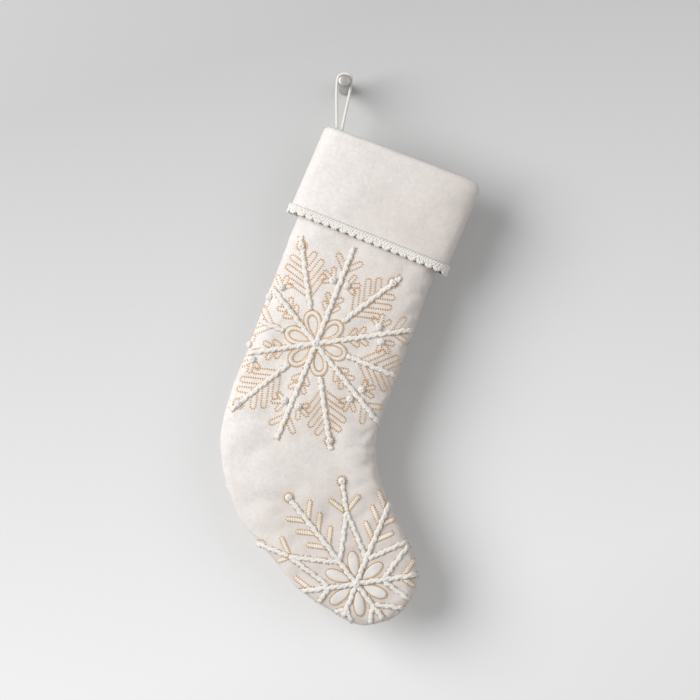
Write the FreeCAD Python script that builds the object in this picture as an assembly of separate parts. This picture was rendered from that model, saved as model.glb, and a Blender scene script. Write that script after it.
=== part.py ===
import FreeCAD
import Part
import math
import os

# A quilted fabric stocking that hangs by a cord loop: leg and foot, folded cuff with a
# crocheted edging, and two embroidered snowflakes on the front.
#
# Frame: millimetres, +Z up, +X to the right seen from the front, the front faces -Y.
# The origin is the middle of the peg or hook that the cord loop hangs on.
# The stocking is drawn upright in its own frame: "across" runs from the back seam of the
# leg towards the toe, "up" is 0 at the rim of the mouth. It is then turned to hang.

# ---- Leg and foot outline -------------------------------------------------------------
LEG_WIDTH = 167.0        # across the straight leg, seam to seam
LEG_LENGTH = 278.0       # rim to the start of the bend at the front of the ankle
INSTEP_RADIUS = 112.0    # hollow bend from the ankle to the top of the foot
INSTEP_TURN = 45.0       # degrees that this bend turns
HEEL_LAG = 40.0          # the heel's bend starts this far below the ankle's
HEEL_RADIUS = 160.0
HEEL_TURN = 56.0         # degrees
FOOT_DROP = 230.0        # ankle bend to the lowest point of the foot
FOOT_REACH = 270.6       # back seam to the tip of the toe
TOE_RADIUS = 57.0
BALL_BACK = 63.6         # ball of the foot, back from the middle of the toe's round
BALL_DROP = 43.8         # and below it
MOUTH_FLARE_BACK = 3.0   # the leg widens inside the cuff, at the back seam
MOUTH_FLARE_FRONT = 10.2  # and at the front seam

# ---- Thickness ------------------------------------------------------------------------
FRONT_BULGE = 17.0       # front face ahead of the seam plane
BACK_BULGE = 14.0        # back face behind it
ROUNDNESS = 2.6          # power of the curve that rounds off the toe's depth, 2 is a circle
PANEL_THICKNESS = 1.2    # outer flannel
WADDING_THICKNESS = 2.0
LINING_THICKNESS = 0.8
LAYER_GAP = 0.3          # between two soft layers

# ---- Cuff and its edging --------------------------------------------------------------
CUFF_HEIGHT = 96.0       # fabric of the cuff, rim to the edging
CUFF_SHIFT = 4.2         # its lower edge sits this much further back
CUFF_SAG = 3.3           # and hangs this much lower at the front seam
CUFF_THICKNESS = 1.2
FACING_THICKNESS = 0.8
CUFF_CLEARANCE = 1.0     # between the leg and the facing, beside the layer gap
CUFF_STANDOFF = 3.0      # how far the lower edge stands out from the leg
RIM_FOLD = 1.4           # thickness of the fold over the mouth
TRIM_HEIGHT = 10.0
TRIM_OUTSIDE = 2.0       # the crochet stands out past the cuff
TRIM_INSIDE = 3.0        # and reaches in behind its face

# ---- Hanging loop ---------------------------------------------------------------------
PEG_DIAMETER = 14.5      # largest peg the loop is drawn round
CORD_DIAMETER = 3.2
HANG_TILT = 20.8         # degrees, the leg's foot end swings back and the toe points out
PIVOT_ACROSS = 12.2      # knot, in the stocking's frame
PIVOT_DEPTH = 7.0        # below the rim
KNOT_X = -6.1            # knot, where it hangs
KNOT_Z = -62.4
KNOT_RADIUS = 5.2
KNOT_HALF_LENGTH = 3.0
KNOT_FLAT = 3.0          # flat top of the knot, above its middle
CORD_SPACING = 5.0       # between the two cords at the knot
CORD_UPRIGHT = 5.0       # upright run above the knot, before each cord leans to the peg
STAY_THICKNESS = 2.2     # of the tab round the knot
STAY_FRONT = 2.4         # the tab's front edge, ahead of the seam plane
STAY_CLEARANCE = 0.3     # running gap round the knot
STAY_LEFT_ANGLE = 195.0  # degrees, the arc of the tab under the knot
STAY_RIGHT_ANGLE = 345.0

# ---- Embroidery -----------------------------------------------------------------------
UPPER_ACROSS = 69.5      # middle of the upper snowflake
UPPER_UP = -231.3
LOWER_BACK = 7.1         # middle of the lower snowflake, back from the middle of the toe's round
LOWER_DROP = 13.6        # and below it
PETAL_DIRECTION = 118.8  # degrees from "across" to the first petal arm
CHAIN_WIDTH = 5.8
CHAIN_HEIGHT = 2.4
PETAL_HEIGHT = 1.6
LEAF_WIDTH = 6.6
LEAF_HEIGHT = 1.5
LEAF_SLANT = 45.0        # degrees between a leaf and its arm
KNOB_DIAMETER = 9.0
KNOB_HEIGHT = 3.0
STITCH_GAP = 0.4         # between neighbouring pieces of embroidery
SEAM_MARGIN = 1.0        # the work runs out this far inside the seams
SMALLEST_PIECE = 8.0     # cubic mm, a smaller scrap at a seam isn't worked

UPPER_PETAL_START = 7.7
UPPER_PETAL_END = 36.5
UPPER_PETAL_WIDTH = 20.0
UPPER_ARM_START = 40.0
UPPER_ARM_END = 120.0
UPPER_SPOKE_END = 115.0
UPPER_ARM_LEAVES = [(60.0, 29.0), (75.0, 29.0), (90.5, 20.0)]     # start and length
UPPER_SPOKE_LEAVES = [(44.0, 14.0), (88.0, 18.0)]
UPPER_ARM_KNOB = 109.0
UPPER_SPOKE_KNOB = 72.0
UPPER_SPOKE_KNOB_OFF = 8.4

LOWER_PETAL_START = 9.0
LOWER_PETAL_END = 36.0
LOWER_PETAL_WIDTH = 12.5
LOWER_SPOKE_END = 121.0
LOWER_STEM_END = 115.0
LOWER_FORK = 81.0        # where a stem splits in two
LOWER_FORK_FOOT = 34.0   # where its branches end
LOWER_FORK_SPREAD = 27.0  # degrees to each side
LOWER_SPOKE_BARS = [(54.0, 21.0), (73.0, 21.0), (91.0, 19.0)]
LOWER_STEM_BARS = [(85.0, 19.0)]
LOWER_SPOKE_KNOB = 110.0
LOWER_STEM_KNOB = 104.0

# ---- Worked out from the above --------------------------------------------------------
CORD_RADIUS = CORD_DIAMETER / 2
WALL = PANEL_THICKNESS + WADDING_THICKNESS + LINING_THICKNESS + 2 * LAYER_GAP
CUFF_WALL = CUFF_THICKNESS + FACING_THICKNESS + 2 * LAYER_GAP + CUFF_CLEARANCE
ARM_ANGLES = [PETAL_DIRECTION + 60.0 * turn for turn in range(6)]
SPOKE_ANGLES = [angle - 30.0 for angle in ARM_ANGLES]
SHOULDER = 0.1           # share of a section's width taken by each rounded side
SHOULDER_RISE = 0.6      # and how steeply that side rises
PAST = 5.0               # cutting shapes run this far past what they cut
DEEP = FRONT_BULGE + CUFF_WALL + CUFF_STANDOFF + PAST

PIVOT = FreeCAD.Vector(PIVOT_ACROSS, 0, -PIVOT_DEPTH)
KNOT = FreeCAD.Vector(KNOT_X, 0, KNOT_Z)


def polar(centre, radius, degrees):
    """Point at a radius and direction from a centre, in the plane of the stocking."""
    angle = math.radians(degrees)
    return (centre[0] + radius * math.cos(angle), centre[1] + radius * math.sin(angle))


def between(a, b, share):
    return (a[0] + (b[0] - a[0]) * share, a[1] + (b[1] - a[1]) * share)


# ---- Rungs: pairs of seam points down the leg and round the foot -----------------------

def toe_middle():
    """Middle of the toe's round."""
    return (FOOT_REACH - TOE_RADIUS, -LEG_LENGTH - FOOT_DROP + TOE_RADIUS)


def leg_rungs():
    """(back point, front point) pairs from the rim to the toe, all at the outer face."""
    heel_centre = (HEEL_RADIUS, -LEG_LENGTH - HEEL_LAG)
    instep_centre = (LEG_WIDTH + INSTEP_RADIUS, -LEG_LENGTH)
    toe_centre = toe_middle()
    ball = (toe_centre[0] - BALL_BACK, toe_centre[1] - BALL_DROP)
    heel_end = polar(heel_centre, HEEL_RADIUS, 180 + HEEL_TURN)
    instep_end = polar(instep_centre, INSTEP_RADIUS, 180 + INSTEP_TURN)
    toe_top = polar(toe_centre, TOE_RADIUS, 90 - INSTEP_TURN)
    mid_leg = -(CUFF_HEIGHT + LEG_LENGTH) / 2

    rungs = [
        ((-MOUTH_FLARE_BACK, 0.0), (LEG_WIDTH + MOUTH_FLARE_FRONT, 0.0)),
        ((-MOUTH_FLARE_BACK / 2, -CUFF_HEIGHT / 2),
         (LEG_WIDTH + MOUTH_FLARE_FRONT / 2, -CUFF_HEIGHT / 2)),
        ((0.0, -CUFF_HEIGHT), (LEG_WIDTH, -CUFF_HEIGHT)),
        ((0.0, mid_leg), (LEG_WIDTH, mid_leg)),
        ((0.0, -LEG_LENGTH), (LEG_WIDTH, -LEG_LENGTH + HEEL_LAG / 2)),
    ]
    for share in (0.0, 0.25, 0.5, 0.75, 1.0):
        back = polar(heel_centre, HEEL_RADIUS, 180 + HEEL_TURN * share)
        front = polar(instep_centre, INSTEP_RADIUS, 180 + INSTEP_TURN * (0.1 + 0.9 * share))
        rungs.append((back, front))
    rungs.append((between(heel_end, ball, 0.5), between(instep_end, toe_top, 0.33)))
    rungs.append((ball, between(instep_end, toe_top, 0.66)))
    for sole_angle, top_angle in ((-108, 45), (-86, 25), (-66, 7), (-49, -8), (-35, -20)):
        sole = polar(toe_centre, TOE_RADIUS, sole_angle)
        top = polar(toe_centre, TOE_RADIUS, top_angle)
        rungs.append((sole, top))
    return rungs


def cuff_rungs():
    """The same for the cuff's outer face, whose upper end lies round the leg's rim."""
    rungs = []
    top_back = -MOUTH_FLARE_BACK - CUFF_WALL
    top_front = LEG_WIDTH + MOUTH_FLARE_FRONT + CUFF_WALL
    for share in (0.0, 0.5, 1.0):
        back = (top_back - CUFF_SHIFT * share, -CUFF_HEIGHT * share)
        front = (top_front - CUFF_SHIFT * share, -(CUFF_HEIGHT + CUFF_SAG) * share)
        rungs.append((back, front))
    return rungs


def trim_rungs():
    """The edging's pair of rungs, straight below the cuff's lower edge."""
    back, front = cuff_rungs()[-1]
    top = ((back[0], back[1] - LAYER_GAP), (front[0], front[1] - LAYER_GAP))
    bottom = ((back[0], top[0][1] - TRIM_HEIGHT), (front[0], top[1][1] - TRIM_HEIGHT))
    return [top, bottom]


def leg_bulges(rungs, bulge):
    """The full bulge down the leg and foot, rounding off where the toe narrows."""
    bulges = []
    for back, front in rungs:
        slim = 1.0 - min(1.0, math.dist(back, front) / (2 * TOE_RADIUS))
        bulges.append(bulge * (1.0 - slim ** ROUNDNESS) ** (1.0 / ROUNDNESS))
    return bulges


def cuff_bulges(bulge):
    """The cuff lies close round the rim and stands out at its lower edge."""
    return [bulge + CUFF_WALL + CUFF_STANDOFF * share for share in (0.0, 0.5, 1.0)]


# ---- Soft layers ----------------------------------------------------------------------

def inward(rungs, index, end):
    """Unit direction from a seam point into the stocking, square to the outline.

    The leg's outline closes across its last rung, a cuff's or an edging's stops there.
    """
    if index == 0:
        return (1.0, 0.0) if end == 0 else (-1.0, 0.0)
    before = rungs[index - 1][end]
    if index + 1 < len(rungs):
        after = rungs[index + 1][end]
    elif len(rungs) > 3:
        after = rungs[index][1 - end]
    else:
        after = rungs[index][end]
    length = math.dist(before, after)
    sign = 1.0 if end == 0 else -1.0
    return (-(after[1] - before[1]) / length * sign, (after[0] - before[0]) / length * sign)


def section(rungs, index, level, bulge, side, lift, inset):
    """Closed half section on one side of the seam plane, a level inside the outer face."""
    ends = []
    for end in (0, 1):
        point = rungs[index][end]
        direction = inward(rungs, index, end)
        ends.append((point[0] + direction[0] * inset, point[1] + direction[1] * inset + lift))
    out = side * (bulge - level)
    poles = []
    shape = ((0, 0), (0, SHOULDER_RISE), (SHOULDER, 1), (0.5, 1),
             (1 - SHOULDER, 1), (1, SHOULDER_RISE), (1, 0))
    for across, rise in shape:
        place = between(ends[0], ends[1], across)
        poles.append(FreeCAD.Vector(place[0], out * rise, place[1]))
    face_line = Part.BSplineCurve()
    face_line.buildFromPoles(poles, False, 3)
    return Part.Wire([face_line.toShape(), Part.makeLine(poles[-1], poles[0])])


def core(rungs, bulges, level, side, top=0.0, bottom=0.0, inset=None):
    """Everything on one side that lies deeper than a level; its ends can be moved."""
    inset = level if inset is None else inset
    wires = []
    for index, bulge in enumerate(bulges):
        lift = top if index == 0 else 0.0
        if index == len(bulges) - 1:
            lift = bottom
        wires.append(section(rungs, index, level, bulge, side, lift, inset))
    return Part.makeLoft(wires, True, False)


def layer(rungs, bulges, outer, inner, side, top=0.0, open_end=False):
    """A curved sheet between two levels of one side, open at the top."""
    bottom = -PAST if open_end else 0.0
    outside = core(rungs, bulges, outer, side, top)
    inside = core(rungs, bulges, inner, side, PAST, bottom)
    return outside.cut(inside)


def leg_layer(outer, thickness, side):
    rungs = leg_rungs()
    bulge = FRONT_BULGE if side < 0 else BACK_BULGE
    bulges = leg_bulges(rungs, bulge)
    return layer(rungs, bulges, outer, outer + thickness, side, -RIM_FOLD - LAYER_GAP)


def leg_core(level, side, top=0.0, inset=None):
    rungs = leg_rungs()
    bulge = FRONT_BULGE if side < 0 else BACK_BULGE
    return core(rungs, leg_bulges(rungs, bulge), level, side, top, inset=inset)


def leg_layers():
    """Panel, wadding and lining, front and back."""
    pieces = {}
    for name, side in (("front", -1), ("back", 1)):
        level = 0.0
        for part, thickness in (("panel", PANEL_THICKNESS), ("wadding", WADDING_THICKNESS),
                                ("lining", LINING_THICKNESS)):
            pieces[name + "_" + part] = leg_layer(level, thickness, side)
            level += thickness + LAYER_GAP
    return pieces


def cuff_layers():
    """The cuff's fabric with its fold over the rim, its facing and the crocheted edging."""
    pieces = {}
    rungs = cuff_rungs()
    trims = []
    for name, side in (("front", -1), ("back", 1)):
        bulge = FRONT_BULGE if side < 0 else BACK_BULGE
        bulges = cuff_bulges(bulge)
        under_fold = core(rungs, bulges, CUFF_THICKNESS, side, -RIM_FOLD, -PAST)
        mouth = leg_core(WALL, side, PAST)
        pieces["cuff_" + name] = core(rungs, bulges, 0.0, side).cut(under_fold).cut(mouth)
        level = CUFF_THICKNESS + LAYER_GAP
        pieces["cuff_facing_" + name] = layer(
            rungs, bulges, level, level + FACING_THICKNESS, side, -RIM_FOLD - LAYER_GAP, True)
        trims.append(layer(
            trim_rungs(), [bulges[-1]] * 2, -TRIM_OUTSIDE, TRIM_INSIDE, side, 0.0, True))
    pieces["cuff_trim"] = trims[0].fuse(trims[1]).removeSplitter()
    return pieces


# ---- Embroidery -----------------------------------------------------------------------

def prism(edges):
    """A flat outline carried forward through the front of the stocking."""
    outline = Part.Wire(edges)
    face = Part.Face(outline)
    return face.extrude(FreeCAD.Vector(0, DEEP, 0))


def spot(point):
    return FreeCAD.Vector(point[0], -DEEP, point[1])


def capsule(start, end, width):
    """A straight strip with round ends, its tips at start and end."""
    length = math.dist(start, end)
    heading = math.degrees(math.atan2(end[1] - start[1], end[0] - start[0]))
    first = between(start, end, width / 2 / length)
    last = between(end, start, width / 2 / length)
    left_a = polar(first, width / 2, heading + 90)
    left_b = polar(last, width / 2, heading + 90)
    right_a = polar(first, width / 2, heading - 90)
    right_b = polar(last, width / 2, heading - 90)
    return prism([
        Part.LineSegment(spot(left_a), spot(left_b)).toShape(),
        Part.Arc(spot(left_b), spot(end), spot(right_b)).toShape(),
        Part.LineSegment(spot(right_b), spot(right_a)).toShape(),
        Part.Arc(spot(right_a), spot(start), spot(left_a)).toShape(),
    ])


def petal(centre, heading, start, end, width):
    """A teardrop: a round far end and straight sides that meet at the near tip."""
    tip = polar(centre, start, heading)
    middle = polar(centre, end - width / 2, heading)
    lean = math.degrees(math.asin(width / 2 / math.dist(tip, middle)))
    left = polar(middle, width / 2, heading + 90 + lean)
    right = polar(middle, width / 2, heading - 90 - lean)
    return prism([
        Part.LineSegment(spot(tip), spot(left)).toShape(),
        Part.Arc(spot(left), spot(polar(centre, end, heading)), spot(right)).toShape(),
        Part.LineSegment(spot(right), spot(tip)).toShape(),
    ])


def knob(point):
    return Part.makeCylinder(KNOB_DIAMETER / 2, DEEP, spot(point), FreeCAD.Vector(0, 1, 0))


def leaf_pair(centre, heading, start, length, width):
    """Two leaves that spread from both sides of an arm, pointing outwards."""
    pair = []
    clear = (CHAIN_WIDTH + width) / 2 + STITCH_GAP
    for side in (-1, 1):
        root = polar(polar(centre, start, heading), clear, heading + side * 90)
        tip = polar(root, length - clear, heading + side * LEAF_SLANT)
        pair.append(capsule(root, tip, width))
    return pair


def stitch_down(shapes, height, cutters=()):
    """Lay flat outlines on the front panel as raised work of one height."""
    work = shapes[0].multiFuse(shapes[1:]) if cutters else Part.makeCompound(shapes)
    if cutters:
        work = work.cut(list(cutters))
    top_face = leg_core(-LAYER_GAP - height, -1, inset=SEAM_MARGIN)
    work = work.common(top_face).cut(leg_core(-LAYER_GAP, -1, PAST))
    return Part.makeCompound([solid for solid in work.Solids if solid.Volume > SMALLEST_PIECE])


def upper_snowflake():
    centre = (UPPER_ACROSS, UPPER_UP)
    chains = []
    petals = []
    leaves = []
    knobs = []
    for heading in ARM_ANGLES:
        chains.append(capsule(polar(centre, UPPER_ARM_START, heading),
                              polar(centre, UPPER_ARM_END, heading), CHAIN_WIDTH))
        petals.append(petal(centre, heading, UPPER_PETAL_START, UPPER_PETAL_END, UPPER_PETAL_WIDTH))
        knobs.append(knob(polar(centre, UPPER_ARM_KNOB, heading)))
        for start, length in UPPER_ARM_LEAVES:
            leaves.extend(leaf_pair(centre, heading, start, length, LEAF_WIDTH))
    for heading in SPOKE_ANGLES:
        chains.append(capsule(centre, polar(centre, UPPER_SPOKE_END, heading), CHAIN_WIDTH))
        for side in (-1, 1):
            beside = polar(centre, UPPER_SPOKE_KNOB, heading)
            knobs.append(knob(polar(beside, UPPER_SPOKE_KNOB_OFF, heading + side * 90)))
        for start, length in UPPER_SPOKE_LEAVES:
            leaves.extend(leaf_pair(centre, heading, start, length, LEAF_WIDTH))
    return {
        "upper_snowflake_chains": stitch_down(chains, CHAIN_HEIGHT, knobs),
        "upper_snowflake_petals": stitch_down(petals, PETAL_HEIGHT),
        "upper_snowflake_leaves": stitch_down(leaves, LEAF_HEIGHT),
        "upper_snowflake_knots": stitch_down(knobs, KNOB_HEIGHT),
    }


def lower_snowflake():
    toe = toe_middle()
    centre = (toe[0] - LOWER_BACK, toe[1] - LOWER_DROP)
    chains = []
    petals = []
    bars = []
    knobs = []
    for heading in ARM_ANGLES:
        fork = polar(centre, LOWER_FORK, heading)
        chains.append(capsule(fork, polar(centre, LOWER_STEM_END, heading), CHAIN_WIDTH))
        for side in (-1, 1):
            foot = polar(centre, LOWER_FORK_FOOT, heading + side * LOWER_FORK_SPREAD)
            chains.append(capsule(fork, foot, CHAIN_WIDTH))
        petals.append(petal(centre, heading, LOWER_PETAL_START, LOWER_PETAL_END, LOWER_PETAL_WIDTH))
        knobs.append(knob(polar(centre, LOWER_STEM_KNOB, heading)))
        for start, length in LOWER_STEM_BARS:
            bars.extend(leaf_pair(centre, heading, start, length, LEAF_WIDTH))
    for heading in SPOKE_ANGLES:
        chains.append(capsule(centre, polar(centre, LOWER_SPOKE_END, heading), CHAIN_WIDTH))
        knobs.append(knob(polar(centre, LOWER_SPOKE_KNOB, heading)))
        for start, length in LOWER_SPOKE_BARS:
            bars.extend(leaf_pair(centre, heading, start, length, LEAF_WIDTH))
    return {
        "lower_snowflake_chains": stitch_down(chains, CHAIN_HEIGHT, knobs),
        "lower_snowflake_petals": stitch_down(petals, PETAL_HEIGHT),
        "lower_snowflake_bars": stitch_down(bars, LEAF_HEIGHT),
        "lower_snowflake_knots": stitch_down(knobs, KNOB_HEIGHT),
    }


# ---- Hanging loop ---------------------------------------------------------------------

def tangent_point(outside, radius, side):
    """Where a line from a point below touches the round of the peg, on one side."""
    distance = math.hypot(outside[0], outside[1])
    towards = math.degrees(math.atan2(outside[1], outside[0]))
    return polar((0, 0), radius, towards + side * math.degrees(math.acos(radius / distance)))


def cord_leg(side):
    """Edges of one cord from the knot up to the peg, and where it meets the peg."""
    wrap = PEG_DIAMETER / 2 + CORD_RADIUS
    foot = (KNOT_X + side * CORD_SPACING / 2, KNOT_Z + KNOT_FLAT)
    corner = (foot[0], foot[1] + CORD_UPRIGHT)
    touch = tangent_point(corner, wrap, side)
    run = math.dist(foot, corner)
    lower = math.atan2(corner[1] - foot[1], corner[0] - foot[0])
    upper = math.atan2(touch[1] - corner[1], touch[0] - corner[0])
    turn = abs(upper - lower)
    setback = 0.45 * run
    radius = setback / math.tan(turn / 2)
    start = between(corner, foot, setback / run)
    end = between(corner, touch, setback / math.dist(corner, touch))
    sagitta = radius * (1 / math.cos(turn / 2) - 1)
    chord_middle = between(start, end, 0.5)
    middle = between(corner, chord_middle, sagitta / math.dist(corner, chord_middle))
    print("cord bend radius", round(radius, 1), "turn", round(math.degrees(turn), 1))
    points = [FreeCAD.Vector(x, 0, z) for x, z in (foot, start, middle, end, touch)]
    edges = [
        Part.LineSegment(points[0], points[1]).toShape(),
        Part.Arc(points[1], points[2], points[3]).toShape(),
        Part.LineSegment(points[3], points[4]).toShape(),
    ]
    return edges, points[0], points[-1]


def hanging_loop():
    """One cord from the knot up, round the peg and back down to the knot."""
    wrap = PEG_DIAMETER / 2 + CORD_RADIUS
    right, foot, right_touch = cord_leg(1)
    left, left_foot, left_touch = cord_leg(-1)
    over = Part.Arc(right_touch, FreeCAD.Vector(0, 0, wrap), left_touch).toShape()
    path = Part.Wire(Part.sortEdges(right + [over] + left)[0])
    circle = Part.makeCircle(CORD_RADIUS, foot, right[0].tangentAt(0))
    tube = path.makePipeShell([Part.Wire([circle])], True, False)
    expected = math.pi * CORD_RADIUS ** 2 * path.Length
    print("cord length", round(path.Length, 1), "radius over the peg", round(wrap, 2))
    print("cord volume", round(tube.Volume, 1), "section times length", round(expected, 1))
    return tube


def loop_knot():
    """The two cord ends, whipped together into a round knot with a flat top."""
    start = KNOT - FreeCAD.Vector(0, KNOT_HALF_LENGTH, 0)
    knot = Part.makeCylinder(KNOT_RADIUS, 2 * KNOT_HALF_LENGTH, start, FreeCAD.Vector(0, 1, 0))
    top = Part.makeBox(4 * KNOT_RADIUS, 4 * KNOT_RADIUS, 2 * KNOT_RADIUS,
                       KNOT + FreeCAD.Vector(-2 * KNOT_RADIUS, -2 * KNOT_RADIUS, KNOT_FLAT))
    return knot.cut(top)


def loop_stay():
    """A stitched tab on the back lining that holds the knot from below and behind."""
    inner = KNOT_RADIUS + STAY_CLEARANCE
    outer = inner + STAY_THICKNESS
    front = FreeCAD.Vector(PIVOT.x, -STAY_FRONT, PIVOT.z)
    turn = STAY_RIGHT_ANGLE - STAY_LEFT_ANGLE
    tab = Part.makeCylinder(outer, DEEP, front, FreeCAD.Vector(0, 1, 0), turn)
    heading = tab.CenterOfMass - front
    present = math.degrees(math.atan2(heading.z, heading.x))
    wanted = (STAY_LEFT_ANGLE + STAY_RIGHT_ANGLE) / 2
    tab.rotate(PIVOT, FreeCAD.Vector(0, 1, 0), present - wanted)
    behind = FreeCAD.Vector(PIVOT.x, KNOT_HALF_LENGTH + STAY_CLEARANCE, PIVOT.z)
    plug = Part.makeCylinder(outer, DEEP, behind, FreeCAD.Vector(0, 1, 0))
    pocket_start = FreeCAD.Vector(PIVOT.x, -DEEP, PIVOT.z)
    pocket = Part.makeCylinder(inner, DEEP + KNOT_HALF_LENGTH + STAY_CLEARANCE, pocket_start,
                               FreeCAD.Vector(0, 1, 0))
    stay = tab.fuse(plug).cut(pocket)
    halves = [stay.common(leg_core(WALL + LAYER_GAP, side, -RIM_FOLD)) for side in (-1, 1)]
    return halves[0].fuse(halves[1]).removeSplitter()


def hang(shape):
    """Turn a piece of the upright stocking to the way it hangs from the knot."""
    hung = shape.copy()
    hung.rotate(PIVOT, FreeCAD.Vector(0, 1, 0), HANG_TILT)
    hung.translate(KNOT - PIVOT)
    return hung


def build():
    pieces = {"hanging_loop": hanging_loop(), "loop_knot": loop_knot()}
    stocking = {"loop_stay": loop_stay()}
    stocking.update(leg_layers())
    stocking.update(cuff_layers())
    stocking.update(upper_snowflake())
    stocking.update(lower_snowflake())
    for name, shape in stocking.items():
        pieces[name] = hang(shape)
    return pieces


def main():
    os.makedirs("parts", exist_ok=True)
    for name, shape in build().items():
        solids = shape.Solids
        whole = solids[0] if len(solids) == 1 else Part.makeCompound(solids)
        volume = sum(solid.Volume for solid in solids)
        print(name, len(solids), "solids", "valid" if whole.isValid() else "INVALID", round(volume))
        whole.exportStep(os.path.join("parts", name + ".step"))


main()
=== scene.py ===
"""Dressing of the hanging stocking: padded leg and foot, folded cuff with a crocheted edging,
two embroidered snowflakes, and the cord loop that it hangs by.

Lengths are metres. The stocking is drawn upright, with "across" from the back seam of the leg
towards the toe and "up" 0 at the rim of the mouth, and is then turned to hang from its knot.
"""

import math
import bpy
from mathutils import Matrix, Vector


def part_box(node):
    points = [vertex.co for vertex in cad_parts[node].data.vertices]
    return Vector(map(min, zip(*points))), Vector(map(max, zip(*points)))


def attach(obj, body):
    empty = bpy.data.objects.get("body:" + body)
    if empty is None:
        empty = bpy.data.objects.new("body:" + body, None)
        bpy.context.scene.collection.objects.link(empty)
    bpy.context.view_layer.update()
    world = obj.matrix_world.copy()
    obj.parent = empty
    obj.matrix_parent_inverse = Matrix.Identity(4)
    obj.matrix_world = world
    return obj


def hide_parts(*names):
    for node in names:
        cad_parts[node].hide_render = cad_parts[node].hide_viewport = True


bl_info = {
    "name": "Hanging stocking",
    "version": (1, 0, 0),
    "blender": (4, 5, 0),
    "location": "3D View > Sidebar > Stocking",
    "description": "Makes the cloth, embroidery and cord of a hanging stocking",
    "category": "Object",
}

import bmesh
import bpy
import numpy as np
from bpy.props import FloatProperty, FloatVectorProperty, PointerProperty
from mathutils import Vector

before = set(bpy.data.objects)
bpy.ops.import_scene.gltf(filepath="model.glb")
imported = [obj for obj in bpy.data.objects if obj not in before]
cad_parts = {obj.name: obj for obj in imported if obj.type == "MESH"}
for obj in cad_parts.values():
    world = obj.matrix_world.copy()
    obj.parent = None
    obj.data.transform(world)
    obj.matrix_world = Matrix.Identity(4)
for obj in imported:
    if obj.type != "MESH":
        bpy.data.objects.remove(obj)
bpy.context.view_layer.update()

MM = 0.001
PIVOT = (12.2 * MM, -7.0 * MM)          # knot, in the upright stocking's across and up
KNOT = (-6.1 * MM, -62.4 * MM)          # knot, where it hangs
HANG_TILT = math.radians(20.8)
LAYER_GAP = 0.3 * MM
CORD = 3.2 * MM                         # width of the hanging cord
PEG = 14.5 * MM                         # width that the cord bends round
WALL_GAP = 72 * MM                      # seam plane to the wall
LEG_ROWS = 210                          # points of a face down the leg
LEG_COLUMNS = 72                        # and from seam to seam
HEEL_TURN = 56                          # degrees of the heel's bend and the instep's
INSTEP_TURN = 45
LOWER_SPOKE = 121.5 * MM                # reach of the lower snowflake's plain arms
LOWER_STEM = 115 * MM                   # and of its forked ones
ROPE_HOLD = 3.2 * MM                    # the padding is held down this close to a rope
RUMPLE = {}                             # the settled shape of the leg, kept between operators
FINISHES = {}                           # each material by its name


# ---- Sizes ----------------------------------------------------------------------------

def length(name, text, default):
    """A size in millimetres, kept as a length property in metres."""
    return FloatProperty(name=name, description=text, default=default * MM, unit="LENGTH")


def colour(name, text, default):
    """A linear colour without alpha."""
    return FloatVectorProperty(
        name=name, description=text, default=default, size=3, min=0, max=1, subtype="COLOR")


def srgb(red, green, blue):
    """Linear colour of an 8-bit screen colour."""
    return tuple(((c / 255 + 0.055) / 1.055) ** 2.4 for c in (red, green, blue))


class LegSizes(bpy.types.PropertyGroup):
    """Sizes of the leg and foot, and of the cloth's softness"""
    width: length("Leg width", "Across the straight leg, seam to seam", 167.0)
    leg: length("Leg length", "Rim to the start of the ankle's bend", 278.0)
    instep: length("Instep radius", "Hollow bend from the ankle to the foot", 112.0)
    heel_lag: length("Heel lag", "How far below the ankle's bend the heel's starts", 40.0)
    heel: length("Heel radius", "Bend of the heel", 160.0)
    drop: length("Foot drop", "Ankle's bend to the lowest point of the foot", 230.0)
    reach: length("Foot reach", "Back seam to the tip of the toe", 270.6)
    toe: length("Toe radius", "Round of the toe", 57.0)
    ball_back: length("Ball back", "Ball of the foot, back from the toe's middle", 63.6)
    ball_drop: length("Ball drop", "Ball of the foot, below the toe's middle", 43.8)
    front: length("Front bulge", "Front face ahead of the seam plane", 17.0)
    back: length("Back bulge", "Back face behind the seam plane", 14.0)
    panel: length("Panel", "Outer flannel", 1.2)
    wadding: length("Wadding", "Padding under the flannel", 2.0)
    lining: length("Lining", "Inner cloth", 0.8)
    rumple: length("Rumple", "Height of the soft waves in the cloth", 0.55)
    puff: length("Puff", "Most that the padding lifts the cloth", 2.6)
    pucker: length("Pucker", "Depth of the gathers along the seams", 0.3)


class CuffSizes(bpy.types.PropertyGroup):
    """Sizes of the cuff and its edging"""
    height: length("Cuff height", "Fabric of the cuff, rim to the edging", 96.0)
    shift: length("Shift", "The lower edge sits this much further back", 4.2)
    sag: length("Sag", "The lower edge hangs this much lower at the front seam", 3.3)
    flare_back: length("Back flare", "The mouth is wider than the leg at the back seam", 3.0)
    flare_front: length("Front flare", "And at the front seam", 10.2)
    wall: length("Wall", "Cuff, facing and their gaps outside the leg", 3.6)
    standoff: length("Stand-off", "The lower edge stands out from the leg", 3.0)
    back_corner: length("Back corner", "Round of the cuff's upper corner over the back seam", 2.0)
    front_corner: length("Front corner", "And over the front seam", 8.0)
    turn_in: length("Turn-in", "How deep the fold reaches into the mouth", 15.0)
    scallop: length("Scallop", "Pitch of the edging's scallops", 10.2)
    yarn: length("Edging yarn", "Yarn of the edging", 2.9)


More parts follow.
